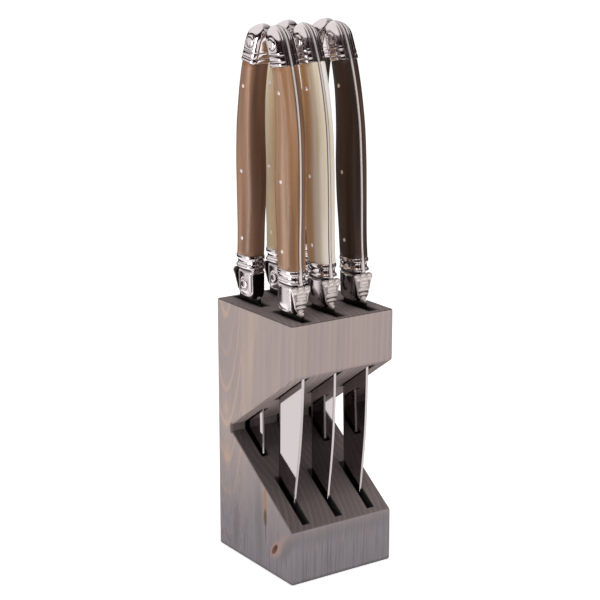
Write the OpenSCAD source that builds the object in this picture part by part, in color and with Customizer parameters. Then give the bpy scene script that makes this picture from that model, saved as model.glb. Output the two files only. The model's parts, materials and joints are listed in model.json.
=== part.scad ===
// Block of wood with a wide V-shaped notch and six table knives standing in it.
// Origin: centre of the block's underside. +X right, -Y front, +Z up. Millimetres.
// Every knife is drawn in its own frame, with its spine towards -Y and its cutting
// edge towards +Y, and z = 0 where its bolster ends and its blade begins.

/* [Block] */
// Width of the block, left to right
block_w = 52; // [49:0.5:70]
// Depth of the block, front to back
block_d = 58; // [56:0.5:80]
// Height of the block
block_h = 114; // [113:1:130]
// Depth of the middle board of the three that are glued front to back
middle_board_d = 19.4; // [16:0.2:24]
// Width of the broken edge around the top and the base
edge_break = 0.8; // [0.2:0.1:1.5]

/* [Notch] */
// Distance of the notch's upper edge below the block's top, on the front face
notch_drop = 22.4; // [16:0.2:30]
// Height of the notch's lower edge on the front face
notch_low_z = 23.5; // [15:0.5:35]
// Wood left behind the notch
notch_back = 10.8; // [8:0.2:16]
// Height of the small upright wall at the notch's bottom
apex_h = 3.2; // [1:0.2:10]
// Height of the lower edge of that wall
apex_z = 55.9; // [48:0.1:64]

/* [Slots] */
// Distance between neighbouring slots
slot_pitch = 17; // [16:0.25:19]
// Width of a slot
slot_w = 3.3; // [3.1:0.1:4]
// Distance from the block's middle plane to the inner end of a slot
slot_inner = 5; // [5:0.1:6]
// Wood left between a slot's outer end and the front or the back face
slot_wall = 2.8; // [2:0.1:5]
// Wood left under the slots
slot_floor = 4.7; // [3:0.1:10]

/* [Blade] */
// Thickness of the blade and its tang
blade_t = 1.5; // [1:0.1:1.8]
// How much shallower the blade is at its heel than at its deepest
heel_in = 1; // [0.2:0.1:2]
// Depth of the blade where its point begins to curve
point_d = 12; // [9:0.2:14]
// Depth at which the blade's point lies above the cutting edge's line
tip_d = 7.8; // [4:0.2:9]
// Length of the curved point
point_len = 27; // [20:1:36]
// Width of the ground bevel along the cutting edge
bevel_w = 2; // [1:0.25:5]
// Thickness of the steel at the cutting edge
edge_t = 0.3; // [0.2:0.1:0.6]

/* [Handle] */
// Length of the bolster
bolster_len = 19.2; // [18:0.2:21]
// Height of the groove under the bolster's collar
collar_z = 12.3; // [11.1:0.1:13.3]
// Length of the whole handle, bolster to pommel
handle_len = 117.3; // [100:0.1:130]
// Length of the pommel
pommel_len = 15.8; // [13:0.1:20]
// Length over which the pommel's end is rounded
round_len = 6.3; // [4:0.1:8]
// Thickness of the grip
grip_t = 9.9; // [9:0.1:11]
// Depth of the grip at its fullest, spine to belly
grip_d = 15; // [13.5:0.1:16]
// Distance from the cutting edge's line to the spine of the grip
grip_spine = 14.2; // [13.2:0.1:14.8]
// Thickness of the pommel
pommel_t = 9.2; // [8.2:0.1:10]
// Depth of the pommel
pommel_d = 10; // [8.5:0.1:10.2]
// Distance from the cutting edge's line to the pommel's spine
pommel_spine = 3.6; // [3.6:0.1:4.6]
// Slope of the joint between grip and pommel
joint_tilt = 10; // [0:1:14]

/* [Bolster] */
// Thickness of the bolster's collar
collar_t = 9.2; // [8.4:0.1:10]
// Depth of the collar, spine to belly
collar_d = 13.9; // [13:0.1:14.4]
// Thickness of the bolster's body
body_t = 7.8; // [7:0.1:8.6]
// Depth of the bolster's body
body_d = 12.9; // [11:0.1:13.4]
// Distance from the cutting edge's line to the collar's spine
collar_spine = 15.3; // [14.6:0.1:15.8]
// How far the bolster's upper edge lies inside its collar, all round
lip_in = 0.6; // [0.2:0.1:1]

/* [Thumb rest] */
// Width of the thumb rest's fan
rest_w = 9.4; // [8:0.1:10.5]
// Width of the thumb rest at its lower end
rest_low_w = 4.6; // [3:0.1:6]
// Height of the thumb rest's lower end
rest_z = 1.8; // [1:0.1:3]
// Thickness of the thumb rest
rest_t = 1.7; // [1.4:0.1:2]
// How far the thumb rest's face stands out beyond the collar's spine
rest_proud = 0.7; // [0.4:0.05:1]
// Width of the thumb rest's ribbed middle
rest_body_w = 3.9; // [3:0.1:5]
// Thickness of that middle between its ribs
rest_body_t = 1.3; // [1:0.1:1.35]
// Thickness of the thumb rest's wings
rest_wing_t = 0.9; // [0.6:0.1:1]
// Diameter of the lobes on its fan
rest_lobe_d = 3.1; // [2.4:0.1:3.6]
// Number of ribs across its middle
rest_ribs = 5; // [3:1:6]
// Number of lobes on its fan
rest_lobes = 3; // [3:1:5]

/* [Pins] */
// Diameter of the grip's pins
pin_d = 1.7; // [1.2:0.1:2.4]
// Height of the grip's lowest pin
pin_low_z = 26.7; // [23:0.1:32]
// Distance of the grip's middle pin below the pommel's joint
pin_mid_drop = 45.9; // [36:0.1:54]
// Distance of the grip's highest pin below the pommel's joint
pin_top_drop = 10.1; // [6:0.1:16]
// Distance of the grip's pins from its centre line, towards the spine
pin_shift = 0.1; // [0:0.1:1.5]
// Diameter of the rivets through bolster and pommel
rivet_d = 3; // [2:0.1:3.6]
// Diameter of the domed heads on those rivets
boss_d = 4.7; // [4:0.1:5.4]
// Height of the domed heads
boss_h = 0.8; // [0.4:0.1:1]
// Height of the rivet in the bolster
bolster_rivet_z = 6.6; // [4:0.1:8]
// Distance of the pommel's rivet below the handle's end
pommel_rivet_drop = 6.9; // [6:0.1:8]

/* [Fits] */
// Clearance between a pin and its hole, all round
pin_gap = 0.05; // [0.02:0.01:0.1]
// Gap between the blade's point and the slot's floor
tip_gap = 0.3; // [0.3:0.1:1]
// Gap between the bolster and the block's top
bolster_gap = 2; // [1.2:0.1:3]
// Distance from a slot's inner end to the cutting edge
edge_gap = 1.4; // [1:0.1:1.8]
// Distance from the blade's spine to a slot's outer end
spine_gap = 2.4; // [1.6:0.1:3]

/* [Hidden] */
// How far each knife leans outwards from the block's middle, and to the right, in degrees
leans = [[1.7, -0.55], [-0.25, -0.6], [-0.65, -0.6], [0.15, -0.35], [2, -0.6], [1.6, -0.15]];
// The knives: front row left to right, then back row left to right
names = ["front_left", "front_mid", "front_right", "back_left", "back_mid", "back_right"];
grip_colours = ["#96714F", "#D9C9A8", "#35251D"];
steel = "#C9C9CC";
wood = "#9D9290";

boards = ["board_front_top", "board_front_base", "board_middle_top", "board_middle_base", "board_back"];
pieces = [
    "blade", "scale_a", "scale_b", "bolster_a", "bolster_b", "pommel_a", "pommel_b", "rest", "pins"
];

// ---- derived sizes ----
slot_outer = block_d / 2 - slot_wall;
edge_y = slot_inner + edge_gap;
blade_d = slot_outer - spine_gap - edge_y;
heel_d = blade_d - heel_in;
notch_top_z = block_h - notch_drop;
apex_y = block_d / 2 - notch_back;
seat_y = collar_spine - rest_t + rest_proud;
rest_top_z = collar_z + 0.8;
half_t = blade_t / 2;
lean_z = block_h / 2;
cut = 1;
knife_z = block_h + bolster_gap;
blade_len = knife_z - tip_gap - slot_floor;
grip_end = handle_len - pommel_len;
grip_len = grip_end - bolster_len;
round_z = handle_len - round_len;
pin_z = [pin_low_z, grip_end - pin_mid_drop, grip_end - pin_top_drop];

// How the grip and then the pommel change along their own lengths: share of the length, then
// shares of the spine's bend, of the taper in depth and of the taper in thickness
grip_shape = [
    [0.06, -0.012, 0.38, 1],
    [0.143, 0, 0.31, 1.1],
    [0.319, -0.01, 0.04, 0.7],
    [0.486, 0.012, 0.06, 0],
    [0.654, 0.075, 0.27, 0.4],
    [0.773, 0.2, 0.5, 0.8],
    [0.887, 0.385, 0.77, 0.7],
    [1, 0.637, 0.96, 0.5]
];
pommel_shape = [[0.25, 0.778, 0.98, 0.8], [0.5, 0.925, 1, 1], [0.75, 1.094, 1, 1], [1, 1.245, 1, 1]];
function shaped(z, s) = [
    z, grip_spine - (grip_spine - pommel_spine) * s[1], grip_d - (grip_d - pommel_d) * s[2],
    grip_t - (grip_t - pommel_t) * s[3]
];
// Stations along the handle: height, distance of the spine from the cutting edge's line,
// depth from spine to belly, and thickness
top_station = [bolster_len, collar_spine - lip_in, collar_d - 1.3 * lip_in, grip_t - 1.3 * lip_in];
grip_stations = concat(
    [top_station],
    [for (s = grip_shape) shaped(bolster_len + grip_len * s[0], s)],
    [for (s = pommel_shape) shaped(grip_end + pommel_len * s[0], s)]
);

// How square the grip's section is: 1 is an ellipse
grip_square = 0.8;
// Stations of the bolster: height, spine, depth, thickness and how square its section is
bolster_stations = [
    [0, seat_y - 1.9, body_d - 3.8, body_t - 3.6, 0.8],
    [0.5, seat_y - 0.9, body_d - 1.8, body_t - 2.6, 0.7],
    [1.6, seat_y - 0.1, body_d - 0.3, body_t - 1.6, 0.5],
    [4.5, seat_y, body_d, body_t - 0.7, 0.45],
    [collar_z - 0.8, seat_y, body_d, body_t, 0.45],
    [collar_z - 0.2, seat_y - 0.4, body_d - 0.8, body_t - 1, 0.6],
    [rest_top_z, seat_y - 0.4, body_d - 0.8, body_t - 1, 0.7],
    [rest_top_z + 0.3, collar_spine, collar_d, collar_t, 0.75],
    [rest_top_z + 1.2, collar_spine, collar_d, collar_t, 0.75],
    [bolster_len - 2.6, collar_spine - lip_in / 2, collar_d - lip_in, collar_t - lip_in, 0.75],
    [bolster_len - 1, collar_spine - lip_in, collar_d - 1.2 * lip_in, collar_t - lip_in / 2, 0.8],
    [top_station[0], top_station[1], top_station[2], top_station[3], grip_square]
];
// The blade's spine below the bolster: height and depth of the blade there
blade_stations = [
    [-blade_len, tip_d],
    [-blade_len + point_len / 2, point_d - 1.5],
    [-blade_len + point_len, point_d],
    [-blade_len / 2, (point_d + blade_d) / 2 + 1.1],
    [-blade_len * 0.234, blade_d],
    [-blade_len * 0.108, (heel_d + blade_d) / 2 + 0.2],
    [0, heel_d]
];

// ---- curves through stations ----
function seg(st, z, i = 0) = i >= len(st) - 2 || z <= st[i + 1][0] ? i : seg(st, z, i + 1);
function slope(st, i, c) =
    let(a = max(i - 1, 0), b = min(i + 1, len(st) - 1))
    (st[b][c] - st[a][c]) / (st[b][0] - st[a][0]);
function blend(u, h, p, q, mp, mq) =
    p * (1 - 3 * u * u + 2 * u * u * u) + q * (3 * u * u - 2 * u * u * u)
    + h * (mp * (u - 2 * u * u + u * u * u) + mq * (u * u * u - u * u));
function at(st, z, c) =
    let(i = seg(st, z), h = st[i + 1][0] - st[i][0])
    blend((z - st[i][0]) / h, h, st[i][c], st[i + 1][c], slope(st, i, c), slope(st, i + 1, c));

// How much the pommel's end has rounded in at height z, from 1 down to 0
function rounding(z) = z <= round_z ? 1 : sqrt(max(0, 1 - pow((z - round_z) / round_len, 2)));
function depth(z) = at(grip_stations, z, 2) * rounding(z);
function thick(z) = max(blade_t + 0.02, at(grip_stations, z, 3) * rounding(z));
function middle(z) = at(grip_stations, z, 1) - at(grip_stations, z, 2) / 2;
// Sections tilt gradually, so that the pommel's joint stands square to the curved grip
function along(z) = min(1, max(0, (z - bolster_len) / (grip_end - bolster_len)));
function tilt(z) = tan(joint_tilt) * along(z) * rounding(z);
function spine_point(z) = [-(middle(z) + depth(z) / 2), z + tilt(z) * depth(z) / 2];
function belly_point(z) = [-(middle(z) - depth(z) / 2), z - tilt(z) * depth(z) / 2];

// ---- lofts: one side of the handle, from the tang's face outwards ----
// Steps around half a section
section_n = 8;
function power(v, e) = v <= 0 ? 0 : pow(v, e);
function section(z, m, d, t, e, k, side) = [
    for (i = [0 : section_n])
        let(a = 90 - 180 * i / section_n, o = sign(sin(a)) * power(abs(sin(a)), e) * d / 2)
        [side * (half_t + (t / 2 - half_t) * power(cos(a), e)), -(m + o), z + k * o]
];
function rings(n) = [
    for (j = [0 : n - 2])
        for (i = [0 : section_n])
            let(i2 = (i + 1) % (section_n + 1), w = section_n + 1)
            [j * w + i, j * w + i2, (j + 1) * w + i2, (j + 1) * w + i]
];
function turned(face, side) = side > 0 ? face : [for (i = [len(face) - 1 : -1 : 0]) face[i]];
module loft(sections, side) {
    n = len(sections);
    w = section_n + 1;
    low = [for (i = [section_n : -1 : 0]) i];
    high = [for (i = [0 : section_n]) (n - 1) * w + i];
    faces = concat([low], rings(n), [high]);
    polyhedron([for (s = sections) each s], [for (f = faces) turned(f, -side)]);
}
module grip_loft(zs, side) {
    loft([for (z = zs) section(z, middle(z), depth(z), thick(z), grip_square, tilt(z), side)], side);
}

scale_zs = [for (i = [0 : 10]) bolster_len + (grip_end - bolster_len) * i / 10];
round_steps = 5;
pommel_zs = concat(
    [for (i = [0 : 3]) grip_end + (round_z - grip_end) * i / 3],
    [for (i = [1 : round_steps]) round_z + round_len * sin(78 * i / round_steps)]
);

// ---- pins and their holes, along X ----
module across(z, y, d, length) {
    translate([0, y, z])
        rotate([0, 90, 0])
            cylinder(d = d, h = length, center = true, $fn = 32);
}
function pin_y(z) = -(middle(z) + pin_shift);
pommel_rivet_z = handle_len - pommel_rivet_drop;
bolster_rivet_y = -(seat_y - body_d / 2);
bolster_half_ts = [for (b = bolster_stations) [b[0], b[3] / 2]];
bolster_rivet_reach = lookup(bolster_rivet_z + boss_d / 2, bolster_half_ts);
module pin_holes() {
    for (z = pin_z)
        across(z, pin_y(z), pin_d + 2 * pin_gap, 2 * grip_t);
}
module pommel_hole() {
    across(pommel_rivet_z, -middle(pommel_rivet_z), rivet_d + 2 * pin_gap, 2 * grip_t);
}
module bolster_hole() {
    across(bolster_rivet_z, bolster_rivet_y, rivet_d + 2 * pin_gap, 2 * grip_t);
}

// ---- the block's boards ----
module broken_rect(a, b) {
    e = edge_break;
    polygon([
        [-a / 2 + e, 0], [a / 2 - e, 0], [a / 2, e], [a / 2, b - e],
        [a / 2 - e, b], [-a / 2 + e, b], [-a / 2, b - e], [-a / 2, e]
    ]);
}
module block_solid() {
    intersection() {
        translate([0, -block_d / 2, 0])
            linear_extrude(height = block_h)
                broken_rect(block_w, block_d);
        rotate([90, 0, 0])
            linear_extrude(height = block_d, center = true)
                broken_rect(block_w, block_h);
        rotate([90, 0, 90])
            linear_extrude(height = block_w, center = true)
                broken_rect(block_d, block_h);
    }
}
module notch() {
    rotate([90, 0, 90])
        linear_extrude(height = block_w + 2 * cut, center = true)
            polygon([
                [-block_d / 2 - cut, notch_low_z], [-block_d / 2, notch_low_z], [apex_y, apex_z],
                [apex_y, apex_z + apex_h], [-block_d / 2, notch_top_z], [-block_d / 2 - cut, notch_top_z]
            ]);
}
module slots() {
    for (side = [-1, 1])
        for (column = [-1 : 1])
            translate([column * slot_pitch - slot_w / 2, side > 0 ? slot_inner : -slot_outer, slot_floor])
                cube([slot_w, slot_outer - slot_inner, block_h - slot_floor + cut]);
}
module board(y_from, y_to, z_from, z_to) {
    color(wood)
        difference() {
            intersection() {
                block_solid();
                translate([-block_w, y_from, z_from])
                    cube([2 * block_w, y_to - y_from, z_to - z_from]);
            }
            notch();
            slots();
        }
}
glue_y = middle_board_d / 2;
split_z = apex_z + apex_h / 2;
far = block_d;
module board_front_top() { board(-far, -glue_y, split_z, block_h + cut); }
module board_front_base() { board(-far, -glue_y, -cut, split_z); }
module board_middle_top() { board(-glue_y, glue_y, split_z, block_h + cut); }
module board_middle_base() { board(-glue_y, glue_y, -cut, split_z); }
module board_back() { board(glue_y, far, -cut, block_h + cut); }

// ---- one knife's pieces, in the knife's own frame ----
module steel_outline() {
    edge_steps = 8;
    choil = 3;
    blade_spine = [
        for (i = [0 : 16]) let(z = -blade_len * (1 - i / 16)) [-at(blade_stations, z, 1), z]
    ];
    seat = [[-heel_d, rest_z], [-seat_y, rest_z], [-seat_y, rest_top_z]];
    collar_front = [for (b = bolster_stations) if (b[0] > rest_top_z) [-b[1], b[0]]];
    grip_front = [for (z = scale_zs) if (z > bolster_len) spine_point(z)];
    pommel_front = [for (z = pommel_zs) if (z > grip_end) spine_point(z)];
    pommel_back = [for (i = [len(pommel_zs) - 1 : -1 : 1]) belly_point(pommel_zs[i])];
    grip_back = [for (i = [len(scale_zs) - 1 : -1 : 1]) belly_point(scale_zs[i])];
    bolster_back = [
        for (i = [len(bolster_stations) - 1 : -1 : 3])
            let(b = bolster_stations[i]) [-(b[1] - b[2]), b[0]]
    ];
    heel = [[-(seat_y - body_d), -choil / 2], [0, -choil]];
    edge = [
        for (i = [0 : edge_steps - 1])
            let(u = i / edge_steps) [-tip_d * pow(u, 2.2), -blade_len + point_len * (1 - u)]
    ];
    polygon(concat(blade_spine, seat, collar_front, grip_front, pommel_front, pommel_back, grip_back,
        bolster_back, heel, edge));
}
module bevels() {
    for (side = [-1, 1])
        translate([0, 0, -blade_len - cut])
            linear_extrude(height = blade_len - 2)
                polygon([
                    [side * edge_t / 2, cut], [side * edge_t / 2, 0], [side * half_t, -bevel_w],
                    [side * blade_t, -bevel_w], [side * blade_t, cut]
                ]);
}
module blade() {
    color(steel)
        difference() {
            rotate([90, 0, 90])
                linear_extrude(height = blade_t, center = true)
                    steel_outline();
            bevels();
            pin_holes();
            pommel_hole();
            bolster_hole();
        }
}
module scale_half(side, colour) {
    color(colour)
        difference() {
            grip_loft(scale_zs, side);
            pin_holes();
        }
}
module pommel_half(side) {
    color(steel)
        difference() {
            grip_loft(pommel_zs, side);
            pommel_hole();
        }
}
module bolster_half(side) {
    color(steel)
        difference() {
            loft([
                for (b = bolster_stations) section(b[0], b[1] - b[2] / 2, b[2], b[3], b[4], 0, side)
            ], side);
            bolster_hole();
        }
}
module rest() {
    span = rest_top_z - rest_z;
    lobe_z = span - rest_lobe_d / 2;
    lobe_pitch = (rest_w - rest_lobe_d) / (rest_lobes - 1);
    rib_pitch = (lobe_z - rest_lobe_d / 2) / (rest_ribs + 0.5);
    shoulder = 0.4;
    color(steel)
        translate([0, -seat_y, rest_z])
            rotate([90, 0, 0]) {
                linear_extrude(height = rest_wing_t)
                    polygon([
                        [-rest_low_w / 2, 0], [rest_low_w / 2, 0], [rest_low_w / 2 + shoulder, span * 0.2],
                        [rest_w / 2 - shoulder, span * 0.7], [rest_w / 2, lobe_z],
                        [-rest_w / 2, lobe_z], [-rest_w / 2 + shoulder, span * 0.7],
                        [-rest_low_w / 2 - shoulder, span * 0.2]
                    ]);
                linear_extrude(height = rest_body_t)
                    polygon([
                        [-rest_body_w / 2, shoulder], [rest_body_w / 2, shoulder],
                        [rest_body_w / 2, lobe_z], [-rest_body_w / 2, lobe_z]
                    ]);
                for (i = [0 : rest_lobes - 1])
                    translate([(i - (rest_lobes - 1) / 2) * lobe_pitch, lobe_z, 0])
                        cylinder(d = rest_lobe_d, h = rest_t, $fn = 32);
                for (i = [0 : rest_ribs - 1])
                    translate([-rest_body_w / 2, (i + 0.5) * rib_pitch, 0])
                        cube([rest_body_w, rib_pitch * 0.6, rest_t]);
            }
}
module pin(z, y, length) {
    across(z, y, pin_d, length);
}
// A rivet with a domed head on the sides named: 1 is +X, -1 is -X
module rivet(z, y, reach, heads) {
    dome_r = (boss_d * boss_d / 4 + boss_h * boss_h) / (2 * boss_h);
    across(z, y, rivet_d, 2 * reach);
    for (side = heads)
        translate([side * reach, y, z])
            rotate([0, side * 90, 0])
                intersection() {
                    translate([0, 0, boss_h - dome_r])
                        sphere(r = dome_r, $fn = 48);
                    cylinder(d = boss_d, h = boss_h, $fn = 48);
                }
}
module pins() {
    color(steel) {
        for (z = pin_z)
            pin(z, pin_y(z), at(grip_stations, z, 3) - 0.1);
        rivet(pommel_rivet_z, -middle(pommel_rivet_z), thick(pommel_rivet_z) / 2, [-1, 1]);
        rivet(bolster_rivet_z, bolster_rivet_y, bolster_rivet_reach, [1]);
    }
}

// ---- a knife's place in the block ----
// Knives 0 to 2 stand in front with their spines forwards; 3 to 5 stand behind, turned round.
module placed(k) {
    front = k < 3 ? 1 : -1;
    column = k % 3 - 1;
    seat_mid = edge_y + seat_y - body_d / 2;
    translate([column * slot_pitch, -front * seat_mid, lean_z])
        rotate([front * leans[k][0], leans[k][1], 0])
            translate([0, 0, knife_z - lean_z])
                rotate([0, 0, front > 0 ? 0 : 180])
                    translate([0, seat_mid - edge_y, 0])
                        children();
}
module blade_n(k) { placed(k) blade(); }
module scale_n(k, side) { placed(k) scale_half(side, grip_colours[k % 3]); }
module bolster_n(k, side) { placed(k) bolster_half(side); }
module pommel_n(k, side) { placed(k) pommel_half(side); }
module rest_n(k) { placed(k) rest(); }
module pins_n(k) { placed(k) pins(); }

board_front_top();
board_front_base();
board_middle_top();
board_middle_base();
board_back();
for (k = [0 : len(names) - 1]) {
    blade_n(k);
    scale_n(k, -1);
    scale_n(k, 1);
    bolster_n(k, -1);
    bolster_n(k, 1);
    pommel_n(k, -1);
    pommel_n(k, 1);
    rest_n(k);
    pins_n(k);
}
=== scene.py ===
"""Looks of a knife block with six table knives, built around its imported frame.

The block is glued up from three grey-stained softwood boards with a wide notch through them. Six
table knives stand in its slots. Each has a steel blade whose full tang shows between two
horn-look plastic scales, cast steel bolsters and pommels, and a ribbed thumb rest on its spine.

Lengths are millimetres unless a name ends in _m, and put_mesh writes them as metres. A knife is
worked out in its own frame, as its solids are: x across its thickness, -y towards its spine and
z up from where its bolster ends and its blade begins.
"""
import json
import logging
import math
from dataclasses import dataclass
from enum import Enum
from typing import Any

import bmesh
import bpy
import numpy as np
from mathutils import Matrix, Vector


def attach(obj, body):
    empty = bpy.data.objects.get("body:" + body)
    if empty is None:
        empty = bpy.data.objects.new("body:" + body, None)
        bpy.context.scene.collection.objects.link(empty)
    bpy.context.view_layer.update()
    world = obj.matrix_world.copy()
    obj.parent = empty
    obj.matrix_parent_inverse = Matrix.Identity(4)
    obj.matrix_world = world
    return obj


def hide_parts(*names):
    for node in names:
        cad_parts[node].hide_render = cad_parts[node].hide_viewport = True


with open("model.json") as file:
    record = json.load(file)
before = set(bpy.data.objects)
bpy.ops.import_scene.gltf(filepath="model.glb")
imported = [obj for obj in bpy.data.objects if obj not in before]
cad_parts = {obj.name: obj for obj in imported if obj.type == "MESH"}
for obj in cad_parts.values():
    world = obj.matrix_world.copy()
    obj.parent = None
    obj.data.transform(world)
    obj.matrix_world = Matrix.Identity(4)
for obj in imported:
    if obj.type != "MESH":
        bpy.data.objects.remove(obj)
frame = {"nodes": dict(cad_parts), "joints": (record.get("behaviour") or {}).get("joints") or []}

logging.basicConfig(level=logging.INFO, format="%(message)s")
log = logging.getLogger("knife_block")

MM = 0.001
HALF_TANG = 0.75
"""Half the thickness of the blade and its tang."""


# ---------------------------------------------------------------- meshes

def bump(x: np.ndarray, centre: float, width: float) -> np.ndarray:
    """A smooth hump of height 1 at centre: exp(-((x - centre) / width)^2)."""
    return np.exp(-(((x - centre) / width) ** 2))


def ease(x: np.ndarray, start: float, end: float) -> np.ndarray:
    """Smooth step from 0 at start to 1 at end: 3u^2 - 2u^3 of the share u of the way."""
    u = np.clip((x - start) / (end - start), 0.0, 1.0)
    return u * u * (3.0 - 2.0 * u)


def lump(x: np.ndarray, up: np.ndarray, height: float, half_x: float, half_up: float,
         power: float) -> np.ndarray:
    """A rounded oval lump: height (1 - (x / half_x)^2 - (up / half_up)^2)^power, and 0 outside."""
    return height * np.clip(1 - (x / half_x) ** 2 - (up / half_up) ** 2, 0, 1) ** power


def through(stations: np.ndarray, z: np.ndarray, column: int) -> np.ndarray:
    """Smooth curve through a column of stations.

    Each span is the cubic that meets its two stations with, as slopes there, the slopes of the
    chords from the station before to the station after.

    Args:
        stations: One row a station, with its height first.
        z: Heights to work the curve out at.
        column: The column that the curve follows.

    Returns:
        The curve's value at each height.
    """
    table = np.asarray(stations, float)
    height, value = table[:, 0], table[:, column]
    last = len(height) - 1
    before = np.maximum(np.arange(last + 1) - 1, 0)
    after = np.minimum(np.arange(last + 1) + 1, last)
    slope = (value[after] - value[before]) / (height[after] - height[before])
    i = np.clip(np.searchsorted(height, z, side="left") - 1, 0, last - 1)
    span = height[i + 1] - height[i]
    u = (z - height[i]) / span
    rise = 3 * u**2 - 2 * u**3
    bend = slope[i] * (u - 2 * u**2 + u**3) + slope[i + 1] * (u**3 - u**2)
    return value[i] * (1 - rise) + value[i + 1] * rise + span * bend


def raised(grid: np.ndarray, height: np.ndarray, sense: float) -> np.ndarray:
    """A grid moved along its own normals.

    The normal is the cross product of the grid's two directions, times sense.

    Args:
        grid: Points, rows by columns by 3.
        height: How far each point moves.
        sense: 1 or -1, whichever makes the normals point outwards.

    Returns:
        The moved points.
    """
    normal = np.cross(np.gradient(grid, axis=0), np.gradient(grid, axis=1)) * sense
    length = np.maximum(np.linalg.norm(normal, axis=2, keepdims=True), 1e-9)
    return grid + normal / length * height[..., None]


class Shell:
    """Closed surfaces gathered for one piece, with an optional value at each of their points."""

    def __init__(self) -> None:
        """Starts with nothing in it."""
        self.points: list[np.ndarray] = []
        self.faces: list[list[int]] = []
        self.values: dict[str, list[np.ndarray]] = {}
        self.count = 0

    def tube(self, grid: np.ndarray, **values: np.ndarray) -> "Shell":
        """Adds a tube: each row of the grid is a closed ring, and both ends are capped.

        Args:
            grid: Points, rows by columns by 3.
            values: Arrays of rows by columns, or rows by columns by 3, kept for the material.

        Returns:
            The shell itself.
        """
        rows, columns = grid.shape[:2]
        index = np.arange(rows * columns).reshape(rows, columns) + self.count
        turned = np.roll(index, -1, axis=1)
        quads = np.stack([index[:-1], turned[:-1], turned[1:], index[1:]], axis=-1)
        self.faces += quads.reshape(-1, 4).tolist()
        self.faces += [index[0][::-1].tolist(), index[-1].tolist()]
        self.points.append(grid.reshape(-1, 3))
        for name, value in values.items():
            self.values.setdefault(name, []).append(value.reshape(rows * columns, -1))
        self.count += rows * columns
        return self


def put_mesh(name: str, shell: Shell, stance: "Stance | None", sharp_deg: float) -> Any:
    """Makes an object of a shell, in metres, with its place in its mesh.

    Args:
        name: The object's name.
        shell: The surfaces.
        stance: Where the knife that it belongs to stands, or None for the block.
        sharp_deg: Edges that fold more than this are drawn sharp.

    Returns:
        The new object.
    """
    points = np.concatenate(shell.points)
    if stance is not None:
        points = stance.place(points)
    mesh = bpy.data.meshes.new(name)
    mesh.from_pydata((points * MM).tolist(), [], shell.faces)
    for key, parts in shell.values.items():
        value = np.concatenate(parts)
        kind = "FLOAT_VECTOR" if value.shape[1] == 3 else "FLOAT"
        attribute = mesh.attributes.new(key, kind, "POINT")
        attribute.data.foreach_set("vector" if kind == "FLOAT_VECTOR" else "value", value.ravel())
    work = bmesh.new()
    work.from_mesh(mesh)
    bmesh.ops.remove_doubles(work, verts=work.verts, dist=1e-7)
    bmesh.ops.dissolve_degenerate(work, edges=work.edges, dist=1e-7)
    bmesh.ops.recalc_face_normals(work, faces=work.faces)
    work.to_mesh(mesh)
    work.free()
    mesh.shade_smooth()
    mesh.set_sharp_from_angle(angle=math.radians(sharp_deg))
    obj = bpy.data.objects.new(name, mesh)
    bpy.context.scene.collection.objects.link(obj)
    return obj


def turned_along_x(profile: np.ndarray, y: float, z: float, steps: int) -> np.ndarray:
    """A profile turned about a line along x.

    Args:
        profile: Pairs of x and radius.
        y: Where the line lies.
        z: Where the line lies.
        steps: Points around.

    Returns:
        Points, one row for each pair of the profile.
    """
    angle = np.linspace(0, 2 * math.pi, steps, endpoint=False)[None, :]
    x, radius = profile[:, :1], profile[:, 1:]
    ring = [x + 0 * angle, y + radius * np.cos(angle), z + radius * np.sin(angle)]
    return np.stack(ring, axis=-1)


# ---------------------------------------------------------------- finishes

MODES = {"Math": "operation", "VectorMath": "operation", "MapRange": "interpolation_type",
         "Mix": "data_type", "Mapping": "vector_type", "TexNoise": "noise_dimensions",
         "TexWhiteNoise": "noise_dimensions", "Attribute": "attribute_name"}
"""The setting that add makes on each type of node."""

WHITE = (1.0, 1.0, 1.0, 1.0)
UNDER, OVER, MIXED = 6, 7, 2
"""Numbers of a colour Mix node's two colours and of its result."""

LOW, HIGH = 2, 3
"""Numbers of a plain Mix node's two values."""


def linear(colour: str) -> tuple[float, float, float, float]:
    """An sRGB hex colour as linear values.

    Args:
        colour: The colour, such as "#A39694".

    Returns:
        Red, green, blue and alpha.
    """
    channel = [int(colour[i:i + 2], 16) / 255 for i in (1, 3, 5)]
    value = [c / 12.92 if c <= 0.04045 else ((c + 0.055) / 1.055) ** 2.4 for c in channel]
    return (*value, 1.0)


def add(tree: Any, kind: str, mode: str, sockets: dict, out: Any = 0) -> Any:
    """Adds one node with its setting and links.

    Args:
        tree: The node tree.
        kind: The node's type, without the words ShaderNode.
        mode: Value of the setting that MODES names for its type, or "" to leave it alone.
        sockets: Socket name or number to a value, or to the output socket that feeds it.
        out: Name or number of the output to return, or None for the node itself.

    Returns:
        The output socket, or the node.
    """
    node = tree.nodes.new("ShaderNode" + kind)
    if mode:
        setattr(node, MODES[kind], mode)
    for name, value in sockets.items():
        if isinstance(value, bpy.types.NodeSocket):
            tree.links.new(value, node.inputs[name])
        else:
            node.inputs[name].default_value = value
    return node if out is None else node.outputs[out]


def new_tree(name: str) -> tuple[Any, Any]:
    """A new material with an empty node tree.

    Args:
        name: The material's name.

    Returns:
        The material and its tree.
    """
    material = bpy.data.materials.new(name)
    material.use_nodes = True
    material.node_tree.nodes.clear()
    return material, material.node_tree


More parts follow.
